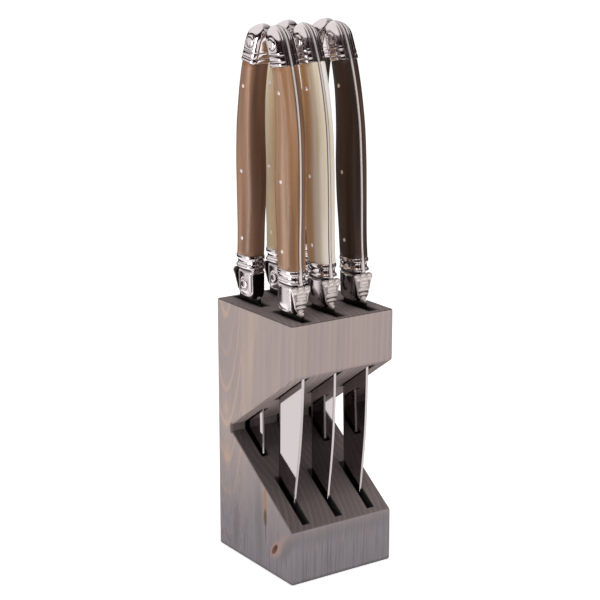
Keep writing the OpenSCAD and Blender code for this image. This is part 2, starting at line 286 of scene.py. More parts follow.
@dataclass(frozen=True)
class Mark:
    """A soft-edged oval of another tone in the side grain: a knot, its halo, a crack or a streak.

    It lies about y and z, half_y and half_z to either side, and leans by tilt_deg. share is how
    strongly it shows, and soft the share of its size over which it fades.
    """

    y: float
    z: float
    half_y: float
    half_z: float
    tilt_deg: float
    colour: str
    share: float
    soft: float = 0.35

    def over(self, tree: Any, place: Any, colour: Any) -> Any:
        """Mixes the mark over a colour.

        Args:
            tree: The node tree.
            place: The place on the block in millimetres, bent as the grain is.
            colour: The colour under the mark.

        Returns:
            The socket with the mixed colour.
        """
        local = add(tree, "Mapping", "TEXTURE", {
            "Vector": place, "Location": (0, self.y, self.z), "Scale": (1e6, self.half_y, self.half_z),
            "Rotation": (math.radians(self.tilt_deg), 0, 0)})
        away = add(tree, "VectorMath", "LENGTH", {0: local}, "Value")
        share = add(tree, "MapRange", "SMOOTHSTEP", {
            "Value": away, "From Min": 1 + self.soft, "From Max": 1 - self.soft, "To Min": 0.0,
            "To Max": self.share})
        return add(tree, "Mix", "RGBA", {0: share, UNDER: colour, OVER: linear(self.colour)}, MIXED)


@dataclass(frozen=True)
class StainedSoftwood:
    """Planed pine under a thin grey stain, matt and open-grained.

    The early wood drinks the stain and goes grey; the hard late wood sheds it and stays warm and
    light, so the growth rings show as pale peach lines. Cut ends drink most and are darkest. The
    rings lie about a leaning pith line at x and y, ring apart, and late wood begins at late_from
    of each. slots holds the slots' pitch and half width, and their middle and half length along y.
    """

    name: str
    pith: tuple[float, float]
    tilt_deg: tuple[float, float]
    ring: float
    seed: float
    slots: tuple[float, float, float, float]
    marks: tuple[Mark, ...] = ()
    late_from: float = 0.35
    late_share: float = 0.45
    late: str = "#C3AD9F"
    early: str = "#A39694"
    warm: str = "#AE9E98"
    # The foot tone is painted shade, which the side grain darkens to towards the bottom.
    foot: str = "#77757D"
    pore: str = "#554E54"
    end: str = "#6F6463"
    late_end: str = "#80736F"

    def make(self) -> Any:
        """The material: side grain with its marks, dark cut ends, and over both the stain, painted shade and
        painted light.

        Returns:
            The material.
        """
        material, tree = new_tree(self.name)
        object_m = add(tree, "TexCoord", "", {}, "Object")
        facing = add(tree, "TexCoord", "", {}, "Normal")
        place = add(tree, "Mapping", "POINT", {"Vector": object_m, "Scale": (1000,) * 3})
        x, y, z = add(tree, "SeparateXYZ", "", {0: place}, None).outputs
        up = add(tree, "SeparateXYZ", "", {0: facing}, "Z")
        bent, sway = self.bend(tree, object_m)
        late = self.late_wood(tree, bent)
        # Fibres 0.5 mm wide and some 25 mm long.
        thin = add(tree, "VectorMath", "MULTIPLY", {0: bent, 1: (1.9, 1.9, 0.035)})
        fibre = add(tree, "TexNoise", "3D", {
            "Vector": thin, "Scale": 1.0, "Detail": 3.0, "Roughness": 0.62}, "Fac")
        colour = self.side_grain(tree, bent, late, fibre, z)
        wavy = add(tree, "VectorMath", "MULTIPLY_ADD", {0: sway, 1: (0, 0.4, 0.4), 2: place})
        for mark in self.marks:
            colour = mark.over(tree, wavy, colour)
        steep = add(tree, "Math", "ABSOLUTE", {0: up})
        cut = add(tree, "MapRange", "SMOOTHSTEP", {"Value": steep, "From Min": 0.45, "From Max": 0.8})
        ends = add(tree, "Mix", "RGBA", {
            0: late, UNDER: linear(self.end), OVER: linear(self.late_end)}, MIXED)
        colour = add(tree, "Mix", "RGBA", {0: cut, UNDER: colour, OVER: ends}, MIXED)
        # Painted contact shadow: the foot's edge is darkened over 2 mm.
        foot_contact_shadow = add(tree, "MapRange", "SMOOTHSTEP", {
            "Value": z, "From Min": 0.0, "From Max": 2.2, "To Min": 0.5, "To Max": 1.0})
        # Painted shade and light on the notch's slopes, then painted shadow at the slots and along the foot.
        dark = self.slope_stain_and_shading(tree, place, x, up, cut)
        dark = add(tree, "Math", "MULTIPLY", {0: dark, 1: self.painted_shade(tree, x, y, z)})
        dark = add(tree, "Math", "MULTIPLY", {0: dark, 1: foot_contact_shadow})
        grit = add(tree, "MapRange", "LINEAR", {
            "Value": fibre, "From Min": 0.25, "From Max": 0.75, "To Min": 0.86, "To Max": 1.12})
        grit = add(tree, "Math", "MULTIPLY", {0: grit, 1: dark})
        colour = add(tree, "VectorMath", "SCALE", {0: colour, "Scale": grit})
        # The late wood stands a little proud of the early wood.
        tall = add(tree, "Math", "MULTIPLY_ADD", {0: fibre, 1: 0.6, 2: late})
        relief = add(tree, "Bump", "", {"Height": tall, "Strength": 0.35, "Distance": 0.0002}, "Normal")
        rough = add(tree, "MapRange", "LINEAR", {"Value": fibre, "To Min": 0.62, "To Max": 0.82})
        skin = add(tree, "BsdfPrincipled", "", {
            "Base Color": colour, "Roughness": rough, "Normal": relief, "IOR": 1.5,
            "Specular IOR Level": 0.25})
        add(tree, "OutputMaterial", "", {"Surface": skin}, None)
        return material

    def bend(self, tree: Any, object_m: Any) -> tuple[Any, Any]:
        """The place about the pith line, moved by a slow noise.

        The rings wander by a millimetre or so over 20 mm across and 90 mm along.

        Args:
            tree: The node tree.
            object_m: The place on the piece, in metres.

        Returns:
            The sockets with the bent place and with how far it was moved.
        """
        tilt = tuple(math.radians(a) for a in self.tilt_deg)
        about = add(tree, "Mapping", "TEXTURE", {
            "Vector": object_m, "Scale": (MM,) * 3, "Rotation": (*tilt, 0.0),
            "Location": (self.pith[0] * MM, self.pith[1] * MM, 0.0)})
        slow = add(tree, "VectorMath", "MULTIPLY", {0: about, 1: (0.05, 0.05, 0.011)})
        noise = add(tree, "TexNoise", "4D", {
            "Vector": slow, "W": self.seed, "Scale": 1.0, "Detail": 2.0, "Roughness": 0.5}, "Color")
        sway = add(tree, "VectorMath", "MULTIPLY_ADD", {0: noise, 1: (3.2,) * 3, 2: (-1.6,) * 3})
        return add(tree, "VectorMath", "ADD", {0: about, 1: sway}), sway

    def late_wood(self, tree: Any, bent: Any) -> Any:
        """How much late wood there is: it rises slowly through each ring and ends sharply.

        Args:
            tree: The node tree.
            bent: The bent place about the pith line.

        Returns:
            The socket, from 0 in early wood to 1 in late wood.
        """
        flat = add(tree, "VectorMath", "MULTIPLY", {0: bent, 1: (1.0, 1.0, 0.0)})
        radius = add(tree, "VectorMath", "LENGTH", {0: flat}, "Value")
        phase = add(tree, "Math", "DIVIDE", {0: radius, 1: self.ring})
        turn = add(tree, "Math", "FRACT", {0: phase})
        rise = add(tree, "MapRange", "SMOOTHSTEP", {
            "Value": turn, "From Min": self.late_from, "From Max": 0.86, "To Min": 0.0, "To Max": 1.0})
        fall = add(tree, "MapRange", "SMOOTHSTEP", {
            "Value": turn, "From Min": 0.88, "From Max": 1.0, "To Min": 1.0, "To Max": 0.0})
        late = add(tree, "Math", "MULTIPLY", {0: rise, 1: fall})
        # Not every ring is as plain as the next.
        pick = add(tree, "Math", "FLOOR", {0: phase})
        plain = add(tree, "TexWhiteNoise", "1D", {"W": pick}, "Value")
        plain = add(tree, "Math", "MULTIPLY_ADD", {0: plain, 1: 0.6, 2: 0.4})
        return add(tree, "Math", "MULTIPLY", {0: late, 1: plain})

    def side_grain(self, tree: Any, bent: Any, late: Any, fibre: Any, z: Any) -> Any:
        """Colour along the grain: broad bands, rings, painted shade towards the foot, and open fibres.

        Args:
            tree: The node tree.
            bent: The bent place about the pith line.
            late: How much late wood there is.
            fibre: The noise of the fibres.
            z: Height on the block.

        Returns:
            The socket with the colour.
        """
        # Bands of tone 6 mm wide.
        wide = add(tree, "VectorMath", "MULTIPLY", {0: bent, 1: (0.17, 0.17, 0.006)})
        band = add(tree, "TexNoise", "4D", {
            "Vector": wide, "W": self.seed, "Scale": 1.0, "Detail": 2.0, "Roughness": 0.55}, "Fac")
        band = add(tree, "MapRange", "LINEAR", {"Value": band, "From Min": 0.36, "From Max": 0.64})
        share = add(tree, "Math", "MULTIPLY", {0: late, 1: self.late_share})
        # Painted shade: the side grain darkens towards the foot, below 62 mm.
        low = add(tree, "MapRange", "SMOOTHSTEP", {
            "Value": z, "From Min": 4.0, "From Max": 62.0, "To Min": 0.75, "To Max": 0.0})
        # The dark open fibres show most at the foot, adding to its painted shade.
        pores = add(tree, "MapRange", "LINEAR", {"Value": fibre, "From Min": 0.46, "From Max": 0.7})
        often = add(tree, "Math", "MULTIPLY_ADD", {0: low, 1: 0.75, 2: 0.16})
        pores = add(tree, "Math", "MULTIPLY", {0: pores, 1: often})
        colour = linear(self.early)
        for part, tone in ((band, self.warm), (share, self.late), (low, self.foot), (pores, self.pore)):
            colour = add(tree, "Mix", "RGBA", {0: part, UNDER: colour, OVER: linear(tone)}, MIXED)
        return colour

    @staticmethod
    def slope_stain_and_shading(tree: Any, place: Any, x: Any, up: Any, cut: Any) -> Any:
        """How light the notch's sloping cuts are: the floor is darker, partly from the stain that
        the cut drinks and partly as painted shade, and the roof is lighter, as painted light.

        Args:
            tree: The node tree.
            place: The place on the block in millimetres.
            x: Its part along the block's width.
            up: Upward part of the surface's normal.
            cut: 1 on cut ends and 0 on side grain.

        Returns:
            The socket with the factor, 1 away from the slopes.
        """
        slope = add(tree, "MapRange", "LINEAR", {"Value": up, "From Min": 0.98, "From Max": 0.88})
        slope = add(tree, "Math", "MULTIPLY", {0: slope, 1: cut})
        # Painted shade: the floor is darkest deep inside on the left. Painted light: the roof is lighter
        # there.
        floor = add(tree, "VectorMath", "DOT_PRODUCT", {0: place, 1: (0.6, 0.0, -0.5)}, "Value")
        floor = add(tree, "MapRange", "LINEAR", {
            "Value": floor, "From Min": -42.0, "From Max": 4.0, "To Min": 0.36, "To Max": 0.9})
        roof = add(tree, "MapRange", "LINEAR", {
            "Value": x, "From Min": -26.0, "From Max": 26.0, "To Min": 2.3, "To Max": 1.3})
        under = add(tree, "Math", "LESS_THAN", {0: up, 1: 0.0})
        stain_shade_and_light = add(tree, "Mix", "FLOAT", {0: under, LOW: floor, HIGH: roof})
        return add(tree, "Mix", "FLOAT", {0: slope, LOW: 1.0, HIGH: stain_shade_and_light})

    def painted_shade(self, tree: Any, x: Any, y: Any, z: Any) -> Any:
        """How light the wood is beside its slots: painted shadow darkens them inside and round their mouths.

        It follows the distance from the nearest slot, taken from that slot's middle on both axes.

        Args:
            tree: The node tree.
            x: The place along the block's width.
            y: The place along its depth.
            z: Height on the block.

        Returns:
            The socket with the factor, 1 away from the slots.
        """
        pitch, half_x, middle_y, half_y = self.slots
        column = add(tree, "Math", "WRAP", {0: x, 1: pitch / 2, 2: -pitch / 2})
        column = add(tree, "Math", "ABSOLUTE", {0: column})
        column = add(tree, "Math", "SUBTRACT", {0: column, 1: half_x})
        row = y
        for inwards in (middle_y, half_y):
            row = add(tree, "Math", "ABSOLUTE", {0: row})
            row = add(tree, "Math", "SUBTRACT", {0: row, 1: inwards})
        corner = add(tree, "CombineXYZ", "", {0: column, 1: row})
        corner = add(tree, "VectorMath", "MAXIMUM", {0: corner, 1: (0, 0, 0)})
        away = add(tree, "VectorMath", "LENGTH", {0: corner}, "Value")
        reach = add(tree, "MapRange", "LINEAR", {
            "Value": z, "From Min": 112.0, "From Max": 113.0, "To Min": 0.5, "To Max": 2.2})
        # Painted shadow, darkest at a slot's edge and gone reach mm away.
        slot_shadow = add(tree, "MapRange", "SMOOTHSTEP", {
            "Value": away, "From Min": 0.05, "From Max": reach, "To Min": 0.1, "To Max": 1.0})
        # The block's outer faces get none of this painted shadow.
        outer = add(tree, "MapRange", "LINEAR", {"Value": column, "From Min": 4.9, "From Max": 5.1})
        return add(tree, "Math", "MAXIMUM", {0: slot_shadow, 1: outer})


@dataclass(frozen=True)
class HornPlastic:
    """Moulded acrylic streaked like polished horn: glossy, with soft bands along the handle.

    tones run from the darkest band to the lightest. The belly's tone lies below turn, which is
    measured from the handle's middle line towards its spine. Its edge fades over blur to either
    side, and share is how strongly it shows. On the front cream knife and the dark knives it is
    the plastic's own tone; on the tan knives it is painted shade, and on the cream knife behind it
    is painted light. A lower shine mirrors less.
    """

    name: str
    tones: tuple[str, str, str, str, str]
    belly: str
    turn: float
    blur: float
    share: float
    shine: float = 0.5

    def make(self) -> Any:
        """The material: bands 5 mm and 2 mm wide along the handle, of another tone at its belly, which on
        some knives is painted shade and on one painted light.

        Returns:
            The material.
        """
        material, tree = new_tree(self.name)
        along = add(tree, "Attribute", "grain", {}, "Vector")
        wide = add(tree, "VectorMath", "MULTIPLY", {0: along, 1: (0.2, 0.2, 0.006)})
        soft = add(tree, "TexNoise", "3D", {
            "Vector": wide, "Scale": 1.0, "Detail": 1.0, "Roughness": 0.5}, "Fac")
        thin = add(tree, "VectorMath", "MULTIPLY", {0: along, 1: (0.55, 0.55, 0.012)})
        fine = add(tree, "TexNoise", "3D", {
            "Vector": thin, "Scale": 1.0, "Detail": 1.5, "Roughness": 0.5}, "Fac")
        tone = add(tree, "Math", "MULTIPLY_ADD", {0: fine, 1: 0.4, 2: -0.2})
        tone = add(tree, "Math", "ADD", {0: tone, 1: soft})
        ramp = add(tree, "ValToRGB", "", {"Fac": tone}, None)
        stops = ramp.color_ramp.elements
        while len(stops) < len(self.tones):
            stops.new(0.5)
        for stop, at, colour in zip(stops, (0.32, 0.42, 0.5, 0.58, 0.68), self.tones):
            stop.position, stop.color = at, linear(colour)
        # The streaks carry the belly's edge up and down by a millimetre or so.
        streak, usual = 3.0, 1.5
        across = add(tree, "SeparateXYZ", "", {0: along}, "Y")
        bent = add(tree, "Math", "MULTIPLY_ADD", {0: tone, 1: streak, 2: across})
        share = add(tree, "MapRange", "SMOOTHSTEP", {
            "Value": bent, "From Min": self.turn + usual + self.blur,
            "From Max": self.turn + usual - self.blur, "To Max": self.share})
        colour = add(tree, "Mix", "RGBA", {
            0: share, UNDER: ramp.outputs["Color"], OVER: linear(self.belly)}, MIXED)
        skin = add(tree, "BsdfPrincipled", "", {
            "Base Color": colour, "Roughness": 0.36, "IOR": 1.49, "Specular IOR Level": self.shine})
        add(tree, "OutputMaterial", "", {"Surface": skin}, None)
        return material


@dataclass(frozen=True)
class PolishedSteel:
    """Buffed stainless steel: bright and slightly warm, darkened in its hollows with painted shade.

    Its buffed face is wavy: humps wave_mm wide, as strong as wave.
    """

    name: str
    colour: str
    roughness: float
    wave_mm: float
    wave: float
    satin: str = "#F0E4DF"
    # The colour of the painted shade, laid where "hollow" is 1.
    painted_shade: str = "#2E2728"

    def make(self) -> Any:
        """The material: a metal with a faint hand-buffed ripple.

        It is dark, as painted shade, and dull where "hollow" is 1. Where "satin" is 1 its fine
        scratches scatter the light all ways, which is drawn as a matt pale coat over half of the metal.

        Returns:
            The material.
        """
        material, tree = new_tree(self.name)
        object_m = add(tree, "TexCoord", "", {}, "Object")
        hollow = add(tree, "Attribute", "hollow", {}, "Fac")
        satin = add(tree, "Attribute", "satin", {}, "Fac")
        place = add(tree, "VectorMath", "SCALE", {0: object_m, "Scale": 1 / (MM * self.wave_mm)})
        ripple = add(tree, "TexNoise", "3D", {"Vector": place, "Scale": 1.0, "Detail": 1.0}, "Fac")
        # Scratches 0.2 mm wide and 4 mm long, as fine as shows.
        scratch = add(tree, "VectorMath", "MULTIPLY", {0: object_m, 1: (5000, 5000, 250)})
        brush = add(tree, "TexNoise", "3D", {"Vector": scratch, "Scale": 1.0, "Detail": 2.0}, "Fac")
        colour = linear(self.colour)
        # Satin pales the metal, and painted shade darkens it where "hollow" is 1.
        for part, tone in ((satin, self.satin), (hollow, self.painted_shade)):
            colour = add(tree, "Mix", "RGBA", {0: part, UNDER: colour, OVER: linear(tone)}, MIXED)
        rough = add(tree, "MapRange", "LINEAR", {
            "Value": brush, "To Min": self.roughness * 0.7, "To Max": self.roughness * 1.4})
        for part, dulled in ((hollow, 0.35), (satin, 0.34)):
            rough = add(tree, "Math", "MULTIPLY_ADD", {0: part, 1: dulled, 2: rough})
        wave = add(tree, "Bump", "", {
            "Height": ripple, "Strength": self.wave, "Distance": 0.0001}, "Normal")
        metal = add(tree, "Math", "MULTIPLY_ADD", {0: satin, 1: -0.55, 2: 1.0})
        skin = add(tree, "BsdfPrincipled", "", {
            "Base Color": colour, "Metallic": metal, "Roughness": rough, "Normal": wave})
        add(tree, "OutputMaterial", "", {"Surface": skin}, None)
        return material


class Horn(Enum):
    """The colours of scale. The tan and cream knives behind are shaded and lit copies of those in front: the
    back tan's belly is darker, as painted shade, and the back cream's belly paler, as painted light.
    """

    BROWN = HornPlastic(
        "horn_plastic_tan", ("#6E4E38", "#835F42", "#946A48", "#9C7456", "#A98870"),
        "#8F6A4C", turn=0.0, blur=2.0, share=0.4)
    CREAM = HornPlastic(
        "horn_plastic_cream", ("#CDB898", "#D6C6AE", "#DDD0BE", "#E2D9CE", "#E8E0DA"),
        "#B67D40", turn=2.8, blur=2.0, share=0.85)
    DARK = HornPlastic(
        "horn_plastic_dark", ("#2A1D17", "#34251D", "#3E2D25", "#4A362C", "#5A4438"),
        "#38281F", turn=4.0, blur=1.5, share=0.7, shine=0.3)
    # The back tan knife's dark belly is painted shade.
    BACK_BROWN_SHADED = HornPlastic(
        "horn_plastic_tan_belly_painted_shade", ("#755440", "#8A6448", "#976B4C", "#A2785C", "#B08C74"),
        "#50362A", turn=-5.4, blur=4.0, share=1.0)
    # The back cream knife's pale belly is painted light.
    BACK_CREAM_LIT = HornPlastic(
        "horn_plastic_cream_belly_painted_light", ("#CDBC98", "#D6C7A6", "#DDD0B4", "#E2D9C4", "#E8E0D0"),
        "#FFDFAE", turn=1.0, blur=2.6, share=0.85)


class Slot(Enum):
    """The record's material slots."""

    WOOD = "wood"
    BLADE = "blade_steel"
    CAST = "cast_steel"
    BROWN = "grip_brown"
    CREAM = "grip_cream"
    DARK = "grip_dark"


# ---------------------------------------------------------------- the block

@dataclass
class Block:
    """The notched block of three boards. Its sizes are those of its solids."""

    width: float = 52.0
    depth: float = 58.0
    height: float = 114.0
    glue_y: float = 9.7
    notch_top_z: float = 91.6
    notch_low_z: float = 23.5
    apex_y: float = 18.2
    apex_low_z: float = 55.9
    apex_high_z: float = 59.1
    slot_pitch: float = 17.0
    slot_w: float = 3.3
    slot_inner: float = 5.0
    slot_outer: float = 26.2
    slot_floor: float = 4.7
    arris: float = 0.9
    slot_arris: float = 0.2
    sharp_deg: float = 40.0

    def outwards(self, y: float) -> float:
        """Share of the way from the notch's apex to its front edge at y."""
        return (self.apex_y - y) / (self.apex_y + self.depth / 2)

    def upper(self, y: float) -> float:
        """Height of the notch's upper slope at y, on the straight line from its edge to its apex."""
        return self.apex_high_z + self.outwards(y) * (self.notch_top_z - self.apex_high_z)

    def lower(self, y: float) -> float:
        """Height of the notch's lower slope at y, on the straight line from its edge to its apex."""
        return self.apex_low_z - self.outwards(y) * (self.apex_low_z - self.notch_low_z)

    def outlines(self) -> dict[str, list[tuple[float, float]]]:
        """Each board's outline seen from the side.

        Returns:
            Pairs of y and z by the name of the board's CAD node.
        """
        front, back, g, top = -self.depth / 2, self.depth / 2, self.glue_y, self.height
        return {
            "board_front_top": [(front, self.upper(front)), (-g, self.upper(-g)), (-g, top), (front, top)],
            "board_front_base": [(front, 0), (-g, 0), (-g, self.lower(-g)), (front, self.lower(front))],
            "board_middle_top": [(-g, self.upper(-g)), (g, self.upper(g)), (g, top), (-g, top)],
            "board_middle_base": [(-g, 0), (g, 0), (g, self.lower(g)), (-g, self.lower(-g))],
            "board_back": [(g, 0), (back, 0), (back, top), (g, top), (g, self.upper(g)),
                           (self.apex_y, self.apex_high_z), (self.apex_y, self.apex_low_z),
                           (g, self.lower(g))],
        }

    def prism(self, outline: list[tuple[float, float]]) -> Shell:
        """The outline drawn across the block's whole width, from one side face to the other.

        Args:
            outline: Pairs of y and z.

        Returns:
            The closed surface.
        """
        ring = np.array(outline, float)
        x = np.array([-0.5, 0.5])[:, None] * self.width
        grid = np.stack([x + 0 * ring[:, 0], ring[:, 0] + 0 * x, ring[:, 1] + 0 * x], axis=-1)
        return Shell().tube(grid)

    def slot_cutter(self) -> Any:
        """Six upright boxes, one for each slot, that the boards are cut with.

        Returns:
            The object that holds them, which is removed once they have cut.
        """
        shell = Shell()
        for side in (-1, 1):
            for column in (-1, 0, 1):
                x = column * self.slot_pitch + np.array([-0.5, 0.5, 0.5, -0.5]) * self.slot_w
                y = side * np.array([self.slot_inner, self.slot_inner, self.slot_outer, self.slot_outer])
                z = np.array([self.slot_floor, self.height + 5])[:, None]
                shell.tube(np.stack([x + 0 * z, y + 0 * z, z + 0 * x], axis=-1))
        return put_mesh("slot_cutter", shell, None, self.sharp_deg)

    def soften(self, board: Any) -> None:
        """Breaks a board's outer arrises, and the slots' a little, but not its glued edges.

        Args:
            board: The board, with its slots already cut.
        """
        mesh = board.data
        points = np.zeros(len(mesh.vertices) * 3)
        mesh.vertices.foreach_get("co", points)
        points = points.reshape(-1, 3) / MM
        ends = np.zeros(len(mesh.edges) * 2, int)
        mesh.edges.foreach_get("vertices", ends)
        middle = points[ends.reshape(-1, 2)].mean(axis=1)
        glued = np.isclose(np.abs(middle[:, 1]), self.glue_y, atol=0.01)
        outer = np.isclose(np.abs(middle[:, 0]), self.width / 2, atol=0.01)
        outer |= np.isclose(np.abs(middle[:, 1]), self.depth / 2, atol=0.01)
        weight = np.where(glued, 0.0, np.where(outer, 1.0, self.slot_arris / self.arris))
        attribute = mesh.attributes.new("bevel_weight_edge", "FLOAT", "EDGE")
        attribute.data.foreach_set("value", weight)
        bevel = board.modifiers.new("softened_arrises", "BEVEL")
        bevel.limit_method = "WEIGHT"
        bevel.width = self.arris * MM
        bevel.segments = 3

    def woods(self) -> dict[str, StainedSoftwood]:
        """Each board's wood, with its marks.

        Returns:
            Woods by the first two words of the boards' CAD nodes' names.
        """
        slots = (self.slot_pitch, self.slot_w / 2, (self.slot_inner + self.slot_outer) / 2,
                 (self.slot_outer - self.slot_inner) / 2)
        knot = (Mark(-20.7, 15.3, 2.8, 9.4, 46, "#A38C84", 0.7, 0.5),
                Mark(-25, 15.5, 2.6, 7, 30, "#68656A", 0.6, 0.6),
                Mark(-16, 12.3, 2.3, 4.3, 40, "#A5867A", 0.8, 0.4),
                Mark(-16, 12.3, 1.3, 3.2, 40, "#5E3C30", 0.95, 0.3),
                Mark(-16.8, 13.4, 0.8, 1.2, 40, "#3A2420", 0.8, 0.5))
        crack = (Mark(2, 96, 2.2, 30, 1, "#BBA598", 0.55, 0.7),
                 Mark(-4, 20, 3, 18, -2, "#6E686C", 0.6, 0.8),
                 Mark(-8.7, 31, 1.4, 7.5, -1, "#A0785F", 0.7, 0.4),
                 Mark(-8.7, 24.3, 1.25, 3.8, 0, "#5E4A3C", 0.9, 0.3),
                 Mark(-8.9, 18.5, 0.35, 5, -1, "#5E4E54", 0.7, 0.4))
        streaks = (Mark(22, 66, 2.0, 2.6, 0, "#C4A797", 0.5, 0.8),
                   Mark(22, 44, 2.4, 4, 0, "#BE9F8E", 0.6, 0.8),
                   Mark(15, 12, 2.2, 10, 4, "#6A6266", 0.6, 0.8),
                   # The dark mark on the notch's apex is painted shade in its inner corner.
                   Mark(18.2, 57.5, 1.0, 2.4, 0, "#4C4443", 0.8, 0.4))
        return {
            "board_front": StainedSoftwood(
                "stained_pine_front", pith=(-62, -6), tilt_deg=(0.6, 1.5), ring=2.6, seed=3.1,
                slots=slots, marks=knot, late_share=0.33),
            "board_middle": StainedSoftwood(
                "stained_pine_middle", pith=(74, 14), tilt_deg=(0.5, -1.2), ring=3.0, seed=8.4,
                slots=slots, marks=crack),
            "board_back": StainedSoftwood(
                "stained_pine_back", pith=(-52, 22), tilt_deg=(0.0, 8.6), ring=2.5, seed=5.7,
                slots=slots, marks=streaks, late="#CBAC9A", late_from=0.66, late_share=0.65),
        }

    def build(self) -> list[Any]:
        """Makes the five board pieces.

        Returns:
            The pieces, in the order of their nodes.
        """
        made = {board: wood.make() for board, wood in self.woods().items()}
        cutter = self.slot_cutter()
        pieces = []
        for node, outline in self.outlines().items():
            piece = put_mesh(node.replace("board", "pine"), self.prism(outline), None, self.sharp_deg)
            cut = piece.modifiers.new("slots", "BOOLEAN")
            cut.operation, cut.object, cut.solver = "DIFFERENCE", cutter, "EXACT"
            shaped = piece.evaluated_get(bpy.context.evaluated_depsgraph_get())
            mesh = bpy.data.meshes.new_from_object(shaped)
            piece.modifiers.clear()
            piece.data = mesh
            mesh.shade_flat()
            self.soften(piece)
            mesh.materials.clear()
            mesh.materials.append(made["_".join(node.split("_")[:2])])
            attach(piece, "block")
            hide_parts(node)
            pieces.append(piece)
        bpy.data.objects.remove(cutter)
        return pieces


# ---------------------------------------------------------------- the knives

@dataclass(frozen=True)
class Stance:
    """How one knife stands: turned about its own frame's origin, then moved there."""

    turn: np.ndarray
    origin: np.ndarray

    def place(self, points: np.ndarray) -> np.ndarray:
        """Points of the knife's own frame in the block's frame."""
        return points @ self.turn.T + self.origin


def node_points(node: str) -> np.ndarray:
    """A CAD node's vertices in millimetres.

    Args:
        node: The node's name.

    Returns:
        Points, one a vertex.
    """
    mesh = frame["nodes"][node].data
    points = np.zeros(len(mesh.vertices) * 3)
    mesh.vertices.foreach_get("co", points)
    return points.reshape(-1, 3) / MM


@dataclass(frozen=True)
class Handle:
    """The handle's sizes and curves, the same for all six knives and the same as its solids'."""

    bolster_len: float = 19.2
    length: float = 117.3
    pommel_len: float = 15.8
    round_len: float = 6.3
    grip_t: float = 9.9
    grip_d: float = 15.0
    grip_spine: float = 14.2
    pommel_t: float = 9.2
    pommel_d: float = 10.0
    pommel_spine: float = 3.6
    joint_tilt_deg: float = 10.0
    collar_t: float = 9.2
    collar_d: float = 13.9
    collar_spine: float = 15.3
    lip_in: float = 0.6
    body_t: float = 7.8
    body_d: float = 12.9
    seat: float = 14.3
    square: float = 0.8
    pommel_square: float = 0.52

    @property
    def grip_end(self) -> float:
        """Height of the joint between grip and pommel."""
        return self.length - self.pommel_len

    def stations(self) -> np.ndarray:
        """The stations that the handle's curves run through, from its first joint to its end.

        The first table gives the share of the way along the grip, and the shares of the change
        in spine, depth and thickness from the grip's first size to the pommel's. The second gives
        the same along the pommel.

        Returns:
            Rows of height, distance of the spine from the cutting edge's line, depth, thickness.
        """
        grip = np.array([
            [0.06, -0.012, 0.38, 1], [0.143, 0, 0.31, 1.1], [0.319, -0.01, 0.04, 0.7],
            [0.486, 0.012, 0.06, 0], [0.654, 0.075, 0.27, 0.4], [0.773, 0.2, 0.5, 0.8],
            [0.887, 0.385, 0.77, 0.7], [1, 0.637, 0.96, 0.5]])
        pommel = np.array([[0.25, 0.778, 0.98, 0.8], [0.5, 0.925, 1, 1], [0.75, 1.094, 1, 1],
                           [1, 1.245, 1, 1]])
        heights = np.concatenate([
            self.bolster_len + (self.grip_end - self.bolster_len) * grip[:, 0],
            self.grip_end + self.pommel_len * pommel[:, 0]])
        share = np.concatenate([grip, pommel])
        rows = np.stack([
            heights, self.grip_spine - (self.grip_spine - self.pommel_spine) * share[:, 1],
            self.grip_d - (self.grip_d - self.pommel_d) * share[:, 2],
            self.grip_t - (self.grip_t - self.pommel_t) * share[:, 3]], axis=1)
        first = [self.bolster_len, self.collar_spine - self.lip_in, self.collar_d - 1.3 * self.lip_in,
                 self.grip_t - 1.3 * self.lip_in]
        return np.vstack([first, rows])

    def rounding(self, z: np.ndarray) -> np.ndarray:
        """How much of the section is left at z: the end is a quarter circle over round_len."""
        over = np.clip((z - self.length + self.round_len) / self.round_len, 0, 1)
        return np.sqrt(1 - over**2)

    def section(self, z: np.ndarray) -> tuple[np.ndarray, np.ndarray, np.ndarray, np.ndarray]:
        """The section at each height.

        Args:
            z: Heights.

        Returns:
            Distance of the section's middle from the cutting edge's line, its depth, its
            thickness, and the slope at which it stands.
        """
        rows, left = self.stations(), self.rounding(z)
        spine, depth, thick = (through(rows, z, column) for column in (1, 2, 3))
        way = np.clip((z - self.bolster_len) / (self.grip_end - self.bolster_len), 0, 1)
        slope = math.tan(math.radians(self.joint_tilt_deg)) * way * left
        return spine - depth / 2, depth * left, np.maximum(thick * left, 2 * HALF_TANG + 0.1), slope


